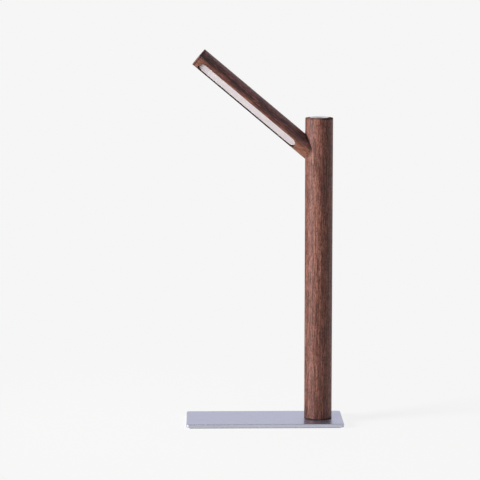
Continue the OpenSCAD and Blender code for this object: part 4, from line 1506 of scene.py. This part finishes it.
# %% Screw with its socket
SCREW_OUTLINE = ((4.8, 0.0), (4.92, 0.06), (2.5, 2.5), (2.1, 2.8), (2.1, 13.5), (1.6, 14.0), (0.0, 14.0))
SCREW_STEPS = 48
SOCKET_SIDES = 6
SOCKET_RADIUS = math.sqrt(3)
SOCKET_DEPTH = 1.8


def open_edges(shape):
    """The edges at the rims of the mesh's holes."""
    return [edge for edge in shape.edges if edge.is_boundary]


shape = turn_on_lathe(SCREW_OUTLINE, SCREW_STEPS)
rim = open_edges(shape)
corners = bmesh.ops.create_circle(shape, radius=SOCKET_RADIUS * MM, segments=SOCKET_SIDES)["verts"]
bmesh.ops.subdivide_edges(shape, edges=edges_at(corners), cuts=SCREW_STEPS // SOCKET_SIDES - 1)
socket = [edge for edge in shape.edges if edge.is_wire]
bmesh.ops.bridge_loops(shape, edges=rim + socket)
sunk = bmesh.ops.extrude_edge_only(shape, edges=socket)
bmesh.ops.translate(shape, verts=points_of(sunk), vec=(0.0, 0.0, SOCKET_DEPTH * MM))
bmesh.ops.holes_fill(shape, edges=open_edges(shape), sides=0)
tidy_up(shape)
print("screw without its thread has", len(shape.faces), "faces")

# %% Thread
THREAD_RIDGE = ((2.05, 3.0), (2.48, 3.3), (2.48, 3.4), (2.05, 3.7))
THREAD_PITCH = 0.8
THREAD_TURNS = 12
THREAD_STEPS = 36

ridge = [shape.verts.new((radius * MM, 0.0, height * MM)) for radius, height in THREAD_RIDGE]
ridge_lines = [shape.edges.new(pair) for pair in zip(ridge, ridge[1:] + ridge[:1])]
bmesh.ops.spin(
    shape,
    geom=ridge + ridge_lines,
    axis=(0.0, 0.0, 1.0),
    dvec=(0.0, 0.0, THREAD_PITCH / THREAD_STEPS * MM),
    angle=2 * math.pi * THREAD_TURNS,
    steps=THREAD_TURNS * THREAD_STEPS,
)
bmesh.ops.holes_fill(shape, edges=open_edges(shape), sides=0)
bmesh.ops.recalc_face_normals(shape, faces=shape.faces)
print("one screw has", len(shape.faces), "faces")

# %% Pair of screws
SCREW_SIDE = 9.5 * MM


def pair_up(shape, level):
    """Stands the piece at one screw of the base, and a copy of it at the other."""
    first = shape.verts[:]
    second = points_of(bmesh.ops.duplicate(shape, geom=first + shape.edges[:] + shape.faces[:]))
    for side, points in ((-1, first), (1, second)):
        bmesh.ops.translate(shape, verts=points, vec=(post_axis.x + side * SCREW_SIDE, 0.0, level))


pair_up(shape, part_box("base_screws")[0].z)
make_piece("plate_screws", shape, "stand", "base_screws", "fastener_steel", plated_steel)

# %% [markdown]
# Threaded inserts
#
# The screws bite in brass inserts that are pressed into the foot of the post. Their outside is
# knurled so that they can't turn. A bump could suggest the knurl, but its outline would stay smooth.
# So every other point of a circle is drawn in a little, and the loop is extruded upwards with a twist
# one way, a plain groove, and a twist the other way.

# %% Inserts
INSERT_RADIUS = 3.5 * MM
INSERT_BORE = 2.55 * MM
INSERT_POINTS = 72
KNURL_DEPTH = 0.94
KNURL_RISE = 4.2
KNURL_TWIST = 12.0
GROOVE_WIDTH = 0.90
GROOVE_SLOPE = 0.3
GROOVE_RISE = 1.0


def pull_up(shape, edges, rise, width=1.0, twist=0.0):
    """Extrudes a loop upwards, scales it and twists it, and returns the new loop."""
    made = bmesh.ops.extrude_edge_only(shape, edges=edges)
    points = points_of(made)
    bmesh.ops.translate(shape, verts=points, vec=(0.0, 0.0, rise * MM))
    bmesh.ops.scale(shape, verts=points, vec=(width, width, 1.0))
    bmesh.ops.rotate(shape, verts=points, matrix=Matrix.Rotation(math.radians(twist), 3, "Z"))
    return [part for part in made["geom"] if isinstance(part, bmesh.types.BMEdge)]


shape = bmesh.new()
loop = bmesh.ops.create_circle(shape, radius=INSERT_RADIUS, segments=INSERT_POINTS)["verts"]
bmesh.ops.scale(shape, verts=loop[::2], vec=(KNURL_DEPTH, KNURL_DEPTH, 1.0))
start = shape.edges[:]
loop = pull_up(shape, start, KNURL_RISE, twist=KNURL_TWIST)
loop = pull_up(shape, loop, GROOVE_SLOPE, GROOVE_WIDTH)
loop = pull_up(shape, loop, GROOVE_RISE)
loop = pull_up(shape, loop, GROOVE_SLOPE, 1 / GROOVE_WIDTH)
loop = pull_up(shape, loop, KNURL_RISE, twist=-KNURL_TWIST)
bore = bmesh.ops.create_circle(shape, radius=INSERT_BORE, segments=INSERT_POINTS)["verts"]
bore_low = edges_at(bore)
bmesh.ops.bridge_loops(shape, edges=start + bore_low)
bore_high = pull_up(shape, bore_low, 2 * (KNURL_RISE + GROOVE_SLOPE) + GROOVE_RISE)
bmesh.ops.bridge_loops(shape, edges=loop + bore_high)
tidy_up(shape)
pair_up(shape, post_low.z)
make_piece("knurled_inserts", shape, "stand", "threaded_inserts", "brass", plain_brass, smooth_below=25.0)

# %% [markdown]
# Sizes
#
# The finished lamp must be as large as its solids. That could be seen only by eye, so the two boxes are
# measured and kept side by side.

# %% Sizes
visual_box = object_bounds()
for label, (low, high) in (("solids", cad_box), ("dressed", visual_box)):
    print(label, "measure", [round((end - start) / MM, 2) for start, end in zip(low, high)], "mm")
